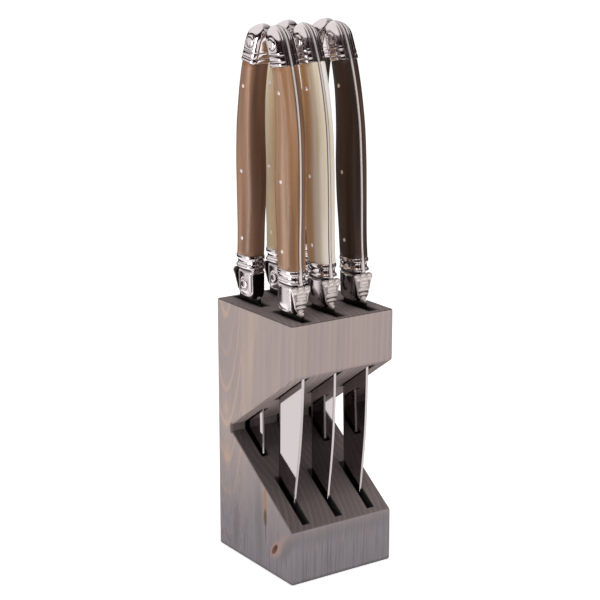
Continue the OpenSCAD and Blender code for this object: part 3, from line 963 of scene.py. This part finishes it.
@dataclass
class HalfShell:
    """One side of the handle over some heights, as a grid from spine to belly.

    A point at angle a stands half_tang + (thickness / 2 - half_tang) cos(a)^square away from the
    middle plane, and sin(a)^square depth / 2 from the section's middle towards the spine. At the
    belly the two halves close over the tang.
    """

    side: int
    z: np.ndarray
    middle: np.ndarray
    depth: np.ndarray
    thick: np.ndarray
    slope: np.ndarray
    square: np.ndarray
    steps: int = 56

    def __post_init__(self) -> None:
        """Works out the grid, with its columns evenly spaced around the section."""
        fine = np.linspace(math.pi / 2, -math.pi / 2, 1500)
        half, mean = self.thick.mean() / 2 - HALF_TANG, float(np.mean(self.square))
        x = half * np.abs(np.cos(fine)) ** mean
        y = np.sign(np.sin(fine)) * np.abs(np.sin(fine)) ** mean * self.depth.mean() / 2
        way = np.concatenate([[0], np.cumsum(np.hypot(np.diff(x), np.diff(y)))])
        a = np.interp(np.linspace(0, way[-1], self.steps), way, fine)[None, :]
        square = self.square[:, None]
        reach = np.clip(np.cos(a), 0, 1) ** square
        # How far each point stands outside the tang's face, and from the section's middle line.
        self.out = (self.thick[:, None] / 2 - HALF_TANG) * reach
        self.offset = np.sign(np.sin(a)) * np.abs(np.sin(a)) ** square * self.depth[:, None] / 2
        self.level = self.z[:, None] + 0 * a
        self.inner = HALF_TANG * np.minimum((1 + np.sin(a)) / 0.02, 1) + 0 * self.level
        self.grid = np.stack([
            self.side * (self.inner + self.out), -(self.middle[:, None] + self.offset),
            self.level + self.slope[:, None] * self.offset], axis=-1)

    def shell(self, relief: np.ndarray, seed: float) -> Shell:
        """The closed half, with relief raised on it.

        Args:
            relief: How far each point of the grid is raised, or sunk where it is negative.
            seed: Moves the streaks, so that no two scales are alike.

        Returns:
            The closed surface, with the values "grain" and "hollow" on it. "hollow" is painted shade
            in the sunk places.
        """
        grid = raised(self.grid, relief, -self.side)
        # Sunk points stay clear of the tang's face.
        least = self.inner + 0.01 * (self.inner > 0.7)
        grid[..., 0] = self.side * np.maximum(self.side * grid[..., 0], least)
        grain = np.stack([self.side * self.out + seed, self.offset, self.level + 9 * seed], axis=-1)
        # Painted shade: the deeper a point is sunk, the darker the steel there.
        return Shell().tube(grid, grain=grain, hollow=np.clip(-relief / 0.28, 0, 1) ** 1.5)

    def spine_lines(self, inner: float, bead: float, outer: float) -> np.ndarray:
        """Relief beside the tang on the spine's side: a groove, a bead and a second groove.

        Args:
            inner: Depth of the groove beside the tang.
            bead: Height of the bead.
            outer: Depth of the groove outside it.

        Returns:
            The relief at each point of the grid.
        """
        lines = bead * bump(self.out, 0.95, 0.25) - inner * bump(self.out, 0.3, 0.25)
        return (self.offset > 0) * (lines - outer * bump(self.out, 1.5, 0.2))


@dataclass
class Knife:
    """One table knife in the block."""

    joint: dict
    number: int
    handle: Handle = Handle()
    blade_len: float = 111.0
    blade_d: float = 17.4
    heel_d: float = 16.4
    point_d: float = 12.0
    tip_d: float = 7.8
    point_len: float = 27.0
    bevel_w: float = 1.5
    edge_t: float = 0.8
    tang_ease: float = 0.16
    rest_z: float = 1.6
    rest_top_z: float = 13.0
    rest_w: float = 9.4
    rest_t: float = 1.7
    pin_d: float = 1.7
    pin_z: tuple[float, float, float] = (26.7, 55.6, 91.4)
    pin_shift: float = 0.1
    boss_d: float = 4.7
    boss_h: float = 0.8
    bolster_rivet_z: float = 6.6
    bolster_rivet_x: tuple[float, float] = (3.75, 3.5)
    pommel_rivet_z: float = 110.4

    def __post_init__(self) -> None:
        """Reads the knife's lean from its joint and its place from its solids."""
        self.body = self.joint["child"]
        self.key = self.body.removeprefix("knife_")
        ax, ay, az = self.joint["axis"]
        b, a = math.atan2(ax, az), -math.asin(ay)
        about_y = np.array([[math.cos(b), 0, math.sin(b)], [0, 1, 0], [-math.sin(b), 0, math.cos(b)]])
        about_x = np.array([[1, 0, 0], [0, math.cos(a), -math.sin(a)], [0, math.sin(a), math.cos(a)]])
        about_z = np.diag([-1, -1, 1]) if "back" in self.key else np.eye(3)
        turn = about_y @ about_x @ about_z
        halves = [node_points(f"bolster_{half}_{self.key}") @ turn for half in "ab"]
        low = np.min([part.min(axis=0) for part in halves], axis=0)
        high = np.max([part.max(axis=0) for part in halves], axis=0)
        corner = np.array([(low[0] + high[0]) / 2, low[1] + self.handle.collar_spine, low[2]])
        self.stance = Stance(turn, turn @ corner)

    def dress(self, name: str, node: str, shell: Shell, material: Any,
              sharp_deg: float = 40.0) -> Any:
        """Makes one piece of the knife, with its body, its node and its material.

        Args:
            name: First part of the piece's name.
            node: First part of the name of the CAD node that it stands for.
            shell: Its surfaces, in the knife's own frame.
            material: Its material.
            sharp_deg: Edges that fold more than this are drawn sharp.

        Returns:
            The piece.
        """
        piece = put_mesh(f"{name}_{self.key}", shell, self.stance, sharp_deg)
        piece.data.materials.append(material)
        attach(piece, self.body)
        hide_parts(f"{node}_{self.key}")
        return piece

    def scale(self, side: int) -> Shell:
        """One plastic scale: the plain half section, its ends and spine edge eased by 0.2 mm.

        Args:
            side: -1 for the half on the left, and 1 for the half on the right.

        Returns:
            The closed surface.
        """
        h = self.handle
        z = np.linspace(h.bolster_len, h.grip_end, 84)
        z[1], z[-2] = z[0] + 0.25, z[-1] - 0.25
        half = HalfShell(side, z, *h.section(z), np.full(len(z), h.square), 48)
        ends = np.minimum(half.level - z[0], z[-1] - half.level)
        relief = -0.22 * (1 - ease(ends, 0, 0.3)) - 0.16 * (1 - ease(half.out, 0.0, 0.5)) * (half.offset > 0)
        return half.shell(relief, 23.0 * self.number + 7.0 * side)

    def pommel(self, side: int) -> Shell:
        """One half of the pommel, of a section rounder than the grip's.

        Over it lie grooves and bands above the joint, a sunk ring about the rivet's head, and the
        lines beside the tang, which fade towards the end.

        Args:
            side: -1 for the half on the left, and 1 for the half on the right.

        Returns:
            The closed surface.
        """
        h = self.handle
        end = h.length - h.round_len
        z = np.concatenate([np.linspace(h.grip_end, end, 60)[:-1],
                            end + h.round_len * np.sin(np.radians(np.linspace(0, 88, 26)))])
        half = HalfShell(side, z, *h.section(z), np.full(len(z), h.pommel_square), 72)
        up = half.level - h.grip_end
        front = (half.offset > 0) * (1 - ease(half.out, 1.5, 2.1))
        top = 1 - ease(up, h.pommel_len - 3.0, h.pommel_len - 1.2)
        rings = (0.1 * bump(up, 0.9, 0.6) - 0.2 * bump(up, 2.0, 0.24) + 0.06 * bump(up, 3.1, 0.75)
                 - 0.13 * bump(up, 4.4, 0.2) + 0.04 * bump(up, 5.0, 0.3))
        lines = half.spine_lines(0.3, 0.14, 0.26) * top
        rivet = np.hypot(half.offset, half.level - self.pommel_rivet_z)
        relief = rings * (1 - front) + lines - 0.12 * bump(rivet, self.boss_d / 2 + 0.2, 0.2)
        relief -= 0.2 * (1 - ease(up, 0, 0.25))
        return half.shell(relief, 0)

    def bolster(self, side: int) -> Shell:
        """One half of the bolster.

        The first table makes the rounded foot, the flat body and the groove under the collar, and
        the second the collar's lower ring, its hollow neck and its two upper rings. Their rows
        are height, how far in from the full spine, depth and thickness, and squareness. A
        U-shaped bead runs round each flat side, and another round the thumb rest's seat.

        Args:
            side: -1 for the half on the left, and 1 for the half on the right.

        Returns:
            The closed surface.
        """
        h, d = self.handle, self.handle.body_d
        body = np.array([
            [0.0, 1.9, 3.8, 3.6, 0.8], [0.35, 1.1, 2.2, 2.6, 0.66], [1.0, 0.4, 0.8, 1.6, 0.6],
            [2.0, 0.05, 0.1, 0.9, 0.56], [4.5, 0, 0, 0.3, 0.56], [11.4, 0, 0, 0, 0.56],
            [11.9, 0.1, 0.2, 0.2, 0.56], [12.3, 0.5, 1.0, 1.0, 0.6], [13.2, 0.5, 1.0, 1.0, 0.7]])
        collar = np.array([
            [13.5, 0.4, 0.5, 0.4, 0.75], [13.9, 0, -0.1, -0.1, 0.75], [14.5, 0, -0.1, -0.1, 0.75],
            [14.9, 0.3, 0.4, 0.4, 0.75], [15.3, 0.65, 1.0, 0.95, 0.76], [16.2, 0.8, 1.3, 1.1, 0.77],
            [17.2, 0.7, 1.1, 0.7, 0.78], [17.55, 0.4, 0.5, -0.1, 0.79], [17.9, 0.25, 0.2, -0.35, 0.8],
            [18.6, 0.25, 0.2, -0.4, 0.8], [18.95, 0.35, 0.4, -0.35, 0.8], [19.2, 0.6, 0.7, -0.1, 0.8]])
        body[:, 1:4] = (h.seat, h.body_d, h.body_t) - body[:, 1:4]
        collar[:, 1:4] = (h.collar_spine, h.collar_d, h.collar_t) - collar[:, 1:4]
        rows = np.concatenate([body, collar])
        z = np.concatenate([np.linspace(0, 2, 12)[:-1], np.linspace(2, 11.6, 40)[:-1],
                            np.linspace(11.6, h.bolster_len, 70)])
        spine, depth, thick, square = (through(rows, z, column) for column in (1, 2, 3, 4))
        half = HalfShell(side, z, spine - depth / 2, depth, thick, 0 * z, square, 76)
        on_body = 1 - ease(half.level, 11.2, 11.7)
        flat = ease(half.out, 1.4, 2.2)
        # A U-shaped bead frames the side, and its leg by the thumb rest turns in under it too.
        side_u = u_border(half.offset + 0.5, half.level, d / 2 - 1.3, 1.3, 3.4)
        seat_u = u_border(half.offset - d / 2, half.level, 2.0, 1.1, 1.9)
        bead = 0.2 * bump(side_u, 0, 0.4) - 0.14 * bump(side_u, -0.85, 0.35)
        bead = np.maximum(bead, 0.2 * bump(seat_u, 0, 0.4) * (half.offset > 3.2))
        relief = on_body * (flat * bead - 0.45 * (half.offset / (d / 2)) ** 2)
        rivet = np.hypot(half.offset, half.level - self.bolster_rivet_z)
        relief -= (side > 0) * 0.15 * bump(rivet, self.boss_d / 2 + 0.2, 0.22)
        relief += ease(half.level, 13.4, 13.9) * half.spine_lines(0.28, 0.1, 0.2)
        # The rings fade before they reach the belly.
        dip = (spine - depth)[:, None] - (h.seat - h.body_d)
        relief += ease(-half.offset, d * 0.36, d * 0.46) * ease(half.level, 11.6, 12.4) * np.maximum(dip, 0)
        shell = half.shell(relief, 0)
        # Painted shade darkens the groove under the collar.
        groove = bump(half.level, 12.7, 0.5) * ease(half.offset, -5.5, -4)
        shell.values["hollow"][0] = np.clip(shell.values["hollow"][0] + groove.reshape(-1, 1), 0, 1)
        return shell

    def blade(self) -> Shell:
        """The blade and its tang in one plate.

        Rings of twelve points follow the plate from the point to the pommel's end. Each ring runs
        up one face from the edge, or from the belly, to the spine and down the other. The tang is
        satin, less so on the pommel, and the blade's neck and the tang's corners are darkened as
        painted shade.

        Returns:
            The closed surface.
        """
        h = self.handle
        grid = np.concatenate([self.ground_rings(), *self.tang_rings()])
        level = np.mean(grid[..., 2], axis=1, keepdims=True)
        pommel = ease(level, h.grip_end - 0.3, h.grip_end + 0.3)
        satin = (level > self.rest_z) * (1 - 0.25 * pommel)
        # Painted shade on the tang's corners beside the scales and on the blade's neck at the slot.
        corner = np.abs(np.abs(np.arange(grid.shape[1]) - 5.5)[None, :] - 2) < 1
        neck = ease(level, -5.5, -3.0) * (level < self.rest_z)
        hollow = np.maximum(neck, np.where(corner & (level > h.bolster_len), 0.85, 0))
        return Shell().tube(grid, satin=satin + 0 * grid[..., 0], hollow=hollow + 0 * grid[..., 0])

    def ground_rings(self) -> np.ndarray:
        """Rings of the blade, from its point to its heel, with a bevel ground along its edge.

        The edge is straight but for the point, where it rises by tip_d times the power 2.2 of its
        way along point_len, and for the neck, where it rises to the belly over 1.5 mm.

        Returns:
            Points, one row a ring.
        """
        h, length, neck_z = self.handle, self.blade_len, -3.0
        stations = np.array([
            [-length, self.tip_d], [-length + self.point_len / 2, self.point_d - 1.5],
            [-length + self.point_len, self.point_d], [-length / 2, (self.point_d + self.blade_d) / 2 + 1.1],
            [-length * 0.234, self.blade_d], [-length * 0.108, (self.heel_d + self.blade_d) / 2 + 0.2],
            [0, self.heel_d]])
        z = np.concatenate([-length + self.point_len * (1 - np.cos(np.linspace(0.02, 1.57, 24))),
                            np.linspace(-length + self.point_len + 2, neck_z, 34), [neck_z / 2, 0.0]])
        past = np.clip((-length + self.point_len - z) / self.point_len, 0, 1)
        belly = np.interp(z, [neck_z, neck_z / 2], [0, h.seat - h.body_d])
        edge = np.where(z > neck_z, belly, self.tip_d * past**2.2)
        spine = through(stations, z, 1)
        wide = spine - edge
        thick = np.minimum(HALF_TANG * (1 + 0.3 * z / length), 0.12 + 0.35 * wide)
        ground = z < neck_z
        foot = np.where(ground, np.minimum(self.edge_t / 2, thick), thick - self.tang_ease)
        bevel = np.where(ground, np.minimum(self.bevel_w, 0.4 * wide), self.tang_ease)
        return self.plate_ring(-edge, -spine, z, z, thick, foot, bevel, 0.25)

    def tang_rings(self) -> list[np.ndarray]:
        """Rings of the tang, under the thumb rest and then through grip and pommel.

        It stands proud of the scales along the spine, where its corners are eased, and ends under
        them along the belly.

        Returns:
            Points, one row a ring, for each of the two lengths.
        """
        h, inset, proud, corner = self.handle, 0.8, 0.1, 0.52
        end = h.length - h.round_len
        z = np.concatenate([np.linspace(h.bolster_len, end, 110),
                            end + h.round_len * np.sin(np.radians(np.linspace(3, 86, 22)))])
        middle, depth, _, slope = h.section(z)
        seat_z = np.array([self.rest_z, self.rest_z + 0.01, self.rest_top_z, self.rest_top_z + 0.3])
        seat_y = np.array([self.heel_d, h.seat, h.seat, h.collar_spine])
        belly_y = np.full(4, h.seat - h.body_d + inset)
        rings = []
        for belly, spine, low, high, eased in (
                (belly_y, seat_y, seat_z, seat_z, self.tang_ease),
                (middle - depth / 2 + inset, middle + depth / 2 + proud, z - slope * depth / 2,
                 z + slope * depth / 2, corner)):
            flat = 0 * low
            rings.append(self.plate_ring(-belly, -spine, low, high, flat + HALF_TANG,
                                         flat + HALF_TANG - self.tang_ease, flat + self.tang_ease, eased))
        return rings

    @staticmethod
    def plate_ring(edge_y: np.ndarray, spine_y: np.ndarray, edge_z: np.ndarray, spine_z: np.ndarray,
                   thick: np.ndarray, foot: np.ndarray, bevel: np.ndarray, corner: float) -> np.ndarray:
        """Rings round a plate.

        Args:
            edge_y: Where the cutting edge or belly lies.
            spine_y: Where the spine lies.
            edge_z: Height of each ring at its edge.
            spine_z: Height of each ring at its spine.
            thick: Half the plate's thickness.
            foot: Half its thickness at the very edge.
            bevel: Width of the slope from there to the full thickness.
            corner: How far the spine's corners are eased.

        Returns:
            Points, one row a ring.
        """
        wide = np.maximum(edge_y - spine_y, 1e-3)
        share = [0 * wide, bevel / wide, 0.5 + 0 * wide, 1 - corner / wide,
                 1 - 0.3 * corner / wide, 1 + 0 * wide]
        out = [foot, thick, thick, thick, thick - 0.3 * corner, thick - corner]
        share, out = np.clip(np.stack(share, axis=1), 0, 1), np.stack(out, axis=1)
        share = np.concatenate([share, share[:, ::-1]], axis=1)
        x = np.concatenate([out, -out[:, ::-1]], axis=1)
        y = edge_y[:, None] + (spine_y - edge_y)[:, None] * share
        z = edge_z[:, None] + (spine_z - edge_z)[:, None] * share
        return np.stack([x, y, z], axis=-1)

    def rest(self) -> Shell:
        """The thumb rest: a fan of three lobes over a ribbed column, a bulge, a band and a tail.

        It is a sheet of heights over its seat. Its half width follows the height above its foot,
        and its face is the highest of the lobes, the ribs, the lumps and the wings, whose fine
        oblique ridges run down towards the column. The face is satin, and darkened as painted shade
        in its hollows and on its back.

        Returns:
            The closed surface.
        """
        h = self.handle
        v = np.linspace(0, 1, 100)[:, None]
        u = np.linspace(-1, 1, 71)[None, :]
        at = [0, 0.04, 0.09, 0.15, 0.22, 0.28, 0.36, 0.48, 0.62, 0.8, 0.9, 0.96, 1]
        half = [0.6, 1.3, 1.85, 2.3, 2.75, 2.85, 3.05, 3.4, 3.8, 4.35, 4.65, 4.7, 4.5]
        x = u * (np.interp(v, at, half) / max(half) * self.rest_w / 2)
        # The fan's top edge dips between its three lobes.
        scallop = 0.55 * (1 - np.abs(np.cos(1.5 * math.pi * u * 0.96))) + 0.25 * u**2
        span = self.rest_top_z - self.rest_z
        z = self.rest_z - 0.4 + v * (span + 0.4 - scallop * ease(v, 0.6, 1))
        up = z - self.rest_z
        # Ridges 0.8 mm apart on the wings, inside a plain border.
        wing = 0.85 + 0.1 * np.cos(2 * math.pi * (np.abs(x) * 0.82 + up * 0.57) / 0.78)
        wing = wing + 0.12 * ease(np.abs(u), 0.84, 0.93)
        # Ribs 1.5 mm apart, lower at their ends, on a column 4.2 mm wide.
        ribs = 1.1 + 0.3 * np.abs(np.cos(math.pi * (up - 7.6 + 0.05 * x**2) / 1.5)) ** 1.4
        column = np.where(np.abs(x) < 2.1, ribs * (1 - 0.12 * (x / 2.1) ** 2), 0)
        column = column * (up > 5.4) * (up < 8.9)
        lobe_x = self.rest_w / 2 * 0.67
        lobes = [lump(x - lobe_x * way, up - top, 1.7, 1.7, 1.45, 0.33)
                 for way, top in ((-1, 9.3), (0, 9.55), (1, 9.3))]
        droop = 0.06 * x**2
        bulge = lump(x, up - 4.5 + droop, 1.75, 3.2, 1.0, 0.4)
        band = lump(x, up - 2.5 + droop, 1.45, 2.9, 0.8, 0.4)
        tail = lump(x, up - 0.7, 1.3, 1.7, 0.95, 0.4)
        face = np.maximum.reduce([np.where(up > 4.0, wing, 0.7), column, *lobes, bulge, band, tail])
        face = np.minimum(face, self.rest_t + 0.05) * (1 - 0.35 * ease(np.abs(u), 0.93, 1.0))
        front = np.stack([x, -(h.seat + face), z], axis=-1)
        back = np.stack([x, -h.seat + 0 * x, z], axis=-1)[:, ::-1]
        # Painted shade in the face's hollows, and all over its back.
        hollow = np.clip((1.0 - face) / 0.3, 0, 1) * 0.85 * (up > 0.2) * (np.abs(u) < 0.93)
        satin = np.concatenate([0.85 + 0 * hollow, 0 * hollow], axis=1)
        hollow = np.concatenate([hollow, 0.8 + 0 * hollow], axis=1)
        return Shell().tube(np.concatenate([front, back], axis=1), hollow=hollow, satin=satin)

    def pins(self) -> Shell:
        """Three satin pins through the grip, and bright rivets in the pommel and the bolster.

        Returns:
            Five closed surfaces.
        """
        h, shell = self.handle, Shell()
        rows = []
        for z in self.pin_z:
            middle, _, thick, _ = h.section(np.array([z]))
            face = thick[0] / 2 - 0.02
            profile = self.domed(face, face, self.pin_d / 2, 0.14, (1, 1))
            rows.append((profile, middle[0] + self.pin_shift, z, 20, 0.6))
        middle, _, thick, _ = h.section(np.array([self.pommel_rivet_z]))
        face, radius, rise = thick[0] / 2, self.boss_d / 2, self.boss_h * 0.6
        through_pommel = self.domed(face, face, radius, rise, (1, 1))
        in_bolster = self.domed(*self.bolster_rivet_x, radius, rise, (1, 0))
        rows += [(through_pommel, middle[0], self.pommel_rivet_z, 40, 0.0),
                 (in_bolster, h.seat - h.body_d / 2, self.bolster_rivet_z, 40, 0.0)]
        for profile, back, z, steps, satin in rows:
            grid = turned_along_x(profile, -back, z, steps)
            shell.tube(grid, satin=satin + 0 * grid[..., 0])
        return shell

    @staticmethod
    def domed(right: float, left: float, radius: float, dome: float, heads: tuple[int, int]) -> np.ndarray:
        """Profile of a pin with domed heads: x and radius, from its left end to its right end.

        Args:
            right: How far the right-hand face lies from the middle plane.
            left: How far the left-hand face lies from it.
            radius: The pin's radius.
            dome: Height of its domes. A head rises dome (0.8 (1 - share^6)^0.5 + 0.2 (1 - share^2))
                at each share of the radius.
            heads: 1 or 0 for a dome on the right and on the left.

        Returns:
            The profile.
        """
        share = np.sin(np.linspace(0.04, math.pi / 2, 14))
        rise = dome * (0.8 * np.sqrt(1 - share**6) + 0.2 * (1 - share**2))
        left_end = np.stack([-(left + heads[1] * rise), radius * share], axis=1)
        right_end = np.stack([right + heads[0] * rise, radius * share], axis=1)[::-1]
        return np.concatenate([left_end, right_end])

    def build(self, steel: Any, blade_steel: Any, horn: Any) -> list[Any]:
        """Makes the knife's nine pieces.

        Args:
            steel: Material of the cast pieces.
            blade_steel: Material of the blade and tang.
            horn: Material of the scales.

        Returns:
            The pieces.
        """
        pieces = [self.dress("plate", "blade", self.blade(), blade_steel, 8.0)]
        for side, half in ((-1, "a"), (1, "b")):
            pieces += [
                self.dress(f"horn_{half}", f"scale_{half}", self.scale(side), horn),
                self.dress(f"collar_{half}", f"bolster_{half}", self.bolster(side), steel),
                self.dress(f"cap_{half}", f"pommel_{half}", self.pommel(side), steel)]
        return pieces + [
            self.dress("thumb_rest", "rest", self.rest(), steel),
            self.dress("rivets", "pins", self.pins(), steel)]


def u_border(across: np.ndarray, up: np.ndarray, half: float, foot: float, corner: float) -> np.ndarray:
    """Distance outside a U: a rounded box open at its top.

    Args:
        across: Distance from the U's middle line.
        up: Height.
        half: Half the U's width.
        foot: Height of its lowest point.
        corner: Radius of its corners.

    Returns:
        The distance, negative inside the U.
    """
    dx = np.abs(across) - half + corner
    dz = foot + corner - up
    outside = np.hypot(np.maximum(dx, 0), np.maximum(dz, 0))
    return outside + np.minimum(np.maximum(dx, dz), 0) - corner


# ---------------------------------------------------------------- the studio

@dataclass(frozen=True)
class Panel:
    """A white panel that only mirrors see.

    It covers half_deg to either side of its bearing, as seen from the block. On the floor it lies
    between near_m and far_m from the block. Away from the floor every direction is 1 long.
    """

    bearing_deg: float
    half_deg: float
    level: float
    near_m: float
    far_m: float


@dataclass
class Studio:
    """Camera, pale floor, three lamps, a white surround, and the panels that the metal shows.

    gloom is the dim warm tone that mirrors show between the panels.
    """

    eye_m: tuple[float, float, float] = (-0.3906, -0.5679, 0.2951)
    target_m: tuple[float, float, float] = (0.0066, 0.0127, 0.1116)
    lens: float = 99.8
    floor_m: float = 8.0
    floor_panels: tuple[Panel, ...] = (
        Panel(145, 21, 1.0, 0.36, 0.66), Panel(143, 45, 1.0, 0.66, 8.0), Panel(160, 8, 7.5, 0.36, 8.0),
        Panel(130, 50, 1.5, 0.0, 0.36), Panel(0, 190, 1.0, 0.0, 0.36), Panel(56, 9, 1.5, 0.0, 6.0),
        Panel(-56, 9, 1.5, 0.0, 2.1), Panel(-80, 30, 1.3, 0.0, 0.3), Panel(5, 4, 0.8, 0.0, 2.1))
    wall_panels: tuple[Panel, ...] = (Panel(56, 8, 0.8, 0.0, 2.0), Panel(-56, 4, 0.7, 0.0, 2.0))
    gloom: str = "#A87070"
    gloom_level: float = 0.06

    def camera(self) -> None:
        """Makes the camera and sets it as the scene's."""
        data = bpy.data.cameras.new("camera")
        data.lens, data.sensor_width = self.lens, 36.0
        data.clip_start, data.clip_end = 0.01, 50.0
        obj = bpy.data.objects.new("camera", data)
        obj.location = self.eye_m
        look = Vector(self.target_m) - Vector(self.eye_m)
        obj.rotation_euler = look.to_track_quat("-Z", "Y").to_euler()
        bpy.context.scene.collection.objects.link(obj)
        bpy.context.scene.camera = obj

    def floor(self) -> None:
        """A wide pale floor, lifted to white for the camera. Mirrors see its panels instead."""
        mesh = bpy.data.meshes.new("floor")
        far = self.floor_m
        mesh.from_pydata([(-far, -far, 0), (far, -far, 0), (far, far, 0), (-far, far, 0)], [], [(0, 1, 2, 3)])
        obj = bpy.data.objects.new("floor", mesh)
        bpy.context.scene.collection.objects.link(obj)
        material, tree = new_tree("floor_paper")
        ray = add(tree, "LightPath", "", {}, None)
        lift = add(tree, "Math", "MULTIPLY", {0: ray.outputs["Is Camera Ray"], 1: 0.46})
        paper = add(tree, "BsdfDiffuse", "", {"Color": linear("#F4F3F3")})
        glow = add(tree, "Emission", "", {"Color": WHITE, "Strength": lift})
        both = add(tree, "AddShader", "", {0: paper, 1: glow})
        place = add(tree, "TexCoord", "", {}, "Object")
        mirrored = add(tree, "Emission", "", {"Strength": self.panels(tree, place, self.floor_panels)})
        gloom = add(tree, "Emission", "", {"Color": linear(self.gloom), "Strength": self.gloom_level})
        mirrored = add(tree, "AddShader", "", {0: mirrored, 1: gloom})
        sheet = add(tree, "MixShader", "", {0: ray.outputs["Is Glossy Ray"], 1: both, 2: mirrored})
        add(tree, "OutputMaterial", "", {"Surface": sheet}, None)
        mesh.materials.append(material)

    @staticmethod
    def panels(tree: Any, place: Any, panels: tuple[Panel, ...]) -> Any:
        """Brightness of the panels: their edges fade over 6 degrees, and the brightest counts.

        Args:
            tree: The node tree.
            place: Direction from the block, or a place on the floor in metres.
            panels: The panels.

        Returns:
            The output socket with the brightness.
        """
        x, y, _ = add(tree, "SeparateXYZ", "", {0: place}, None).outputs
        bearing = add(tree, "Math", "ARCTAN2", {0: y, 1: x})
        away = add(tree, "VectorMath", "LENGTH", {0: place}, "Value")
        bright = 0.0
        for panel in panels:
            turn = add(tree, "Math", "SUBTRACT", {0: bearing, 1: math.radians(panel.bearing_deg)})
            turn = add(tree, "Math", "WRAP", {0: turn, 1: math.pi, 2: -math.pi})
            turn = add(tree, "Math", "ABSOLUTE", {0: turn})
            shown = add(tree, "MapRange", "SMOOTHSTEP", {
                "Value": turn, "From Min": math.radians(panel.half_deg + 3),
                "From Max": math.radians(panel.half_deg - 3), "To Min": 0.0, "To Max": panel.level})
            inside = add(tree, "Math", "COMPARE", {
                0: away, 1: (panel.near_m + panel.far_m) / 2, 2: (panel.far_m - panel.near_m) / 2})
            shown = add(tree, "Math", "MULTIPLY", {0: shown, 1: inside})
            bright = add(tree, "Math", "MAXIMUM", {0: bright, 1: shown})
        return bright

    def lamp(self, name: str, at: tuple, to: tuple, size: tuple, watts: float) -> None:
        """A soft rectangular lamp that mirrors don't show.

        Args:
            name: Its name.
            at: Where it hangs, in metres.
            to: The point that it faces, in metres.
            size: Its width and height, in metres.
            watts: Its power.
        """
        data = bpy.data.lights.new(name, "AREA")
        data.shape, data.size, data.size_y, data.energy = "RECTANGLE", size[0], size[1], watts
        obj = bpy.data.objects.new(name, data)
        obj.location = at
        obj.rotation_euler = (Vector(to) - Vector(at)).to_track_quat("-Z", "Y").to_euler()
        obj.visible_glossy = False
        bpy.context.scene.collection.objects.link(obj)

    def world(self) -> None:
        """A white surround for the camera; in mirrors, white overhead and dim at the horizon.

        The overhead white reaches further down behind the block and on the left, and is brightest
        there. Matt surfaces get one plain level from all round.
        """
        world = bpy.data.worlds.new("studio")
        bpy.context.scene.world = world
        world.use_nodes = True
        tree = world.node_tree
        tree.nodes.clear()
        way = add(tree, "TexCoord", "", {}, "Generated")
        height = add(tree, "VectorMath", "DOT_PRODUCT", {0: way, 1: (-0.1, 0.28, 1.0)}, "Value")
        above = add(tree, "MapRange", "SMOOTHSTEP", {
            "Value": height, "From Min": 0.4, "From Max": 0.54, "To Min": 0.0, "To Max": 1.0})
        fade = add(tree, "VectorMath", "DOT_PRODUCT", {0: way, 1: (-0.55, 0.3, 0.1)}, "Value")
        fade = add(tree, "MapRange", "LINEAR", {
            "Value": fade, "From Min": -0.45, "From Max": 0.05, "To Min": 0.15, "To Max": 1.1})
        above = add(tree, "Math", "MULTIPLY", {0: above, 1: fade})
        bright = add(tree, "Math", "MAXIMUM", {0: above, 1: self.panels(tree, way, self.wall_panels)})
        ray = add(tree, "LightPath", "", {}, None)
        sky = add(tree, "Background", "", {"Color": WHITE, "Strength": 1.0})
        mirror = add(tree, "Background", "", {"Color": WHITE, "Strength": bright})
        gloom = add(tree, "Background", "", {"Color": linear(self.gloom), "Strength": self.gloom_level})
        mirror = add(tree, "AddShader", "", {0: mirror, 1: gloom})
        plain = add(tree, "Background", "", {"Color": WHITE, "Strength": 0.66})
        other = add(tree, "MixShader", "", {0: ray.outputs["Is Glossy Ray"], 1: plain, 2: mirror})
        shown = add(tree, "Math", "MAXIMUM", {
            0: ray.outputs["Is Camera Ray"], 1: ray.outputs["Is Transmission Ray"]})
        all_rays = add(tree, "MixShader", "", {0: shown, 1: other, 2: sky})
        add(tree, "OutputWorld", "", {"Surface": all_rays}, None)

    def build(self) -> None:
        """Sets the studio up."""
        self.camera()
        self.floor()
        self.lamp("left_lamp", (-0.98, -0.12, 0.42), (0, 0, 0.16), (0.2, 0.6), 2.2)
        self.lamp("top_lamp", (-0.1, -0.25, 1.1), (0, 0, 0.1), (0.9, 0.7), 3.2)
        self.lamp("front_lamp", (0.25, -1.1, 0.5), (0, 0, 0.1), (0.7, 0.4), 2.2)
        self.world()
        bpy.context.scene.view_settings.view_transform = "Standard"


def main() -> None:
    """Builds the studio, the block and the knives."""
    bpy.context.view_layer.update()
    Studio().build()
    for piece in Block().build():
        log.info("made %s", piece.name)
    cast_steel = PolishedSteel(
        "polished_cast_steel", "#D4CBCB", roughness=0.1, wave_mm=3.0, wave=0.25).make()
    blade_steel = PolishedSteel(
        "mirror_polished_blade_steel", "#AEA7A7", roughness=0.05, wave_mm=20.0, wave=0.05).make()
    horns = {horn: horn.value.make() for horn in Horn}
    order = (Horn.BROWN, Horn.CREAM, Horn.DARK, Horn.BACK_BROWN_SHADED, Horn.BACK_CREAM_LIT, Horn.DARK)
    for number, joint in enumerate(frame["joints"]):
        for piece in Knife(joint, number).build(cast_steel, blade_steel, horns[order[number]]):
            log.info("made %s", piece.name)
    bpy.context.view_layer.update()


if __name__ == "__main__":
    main()
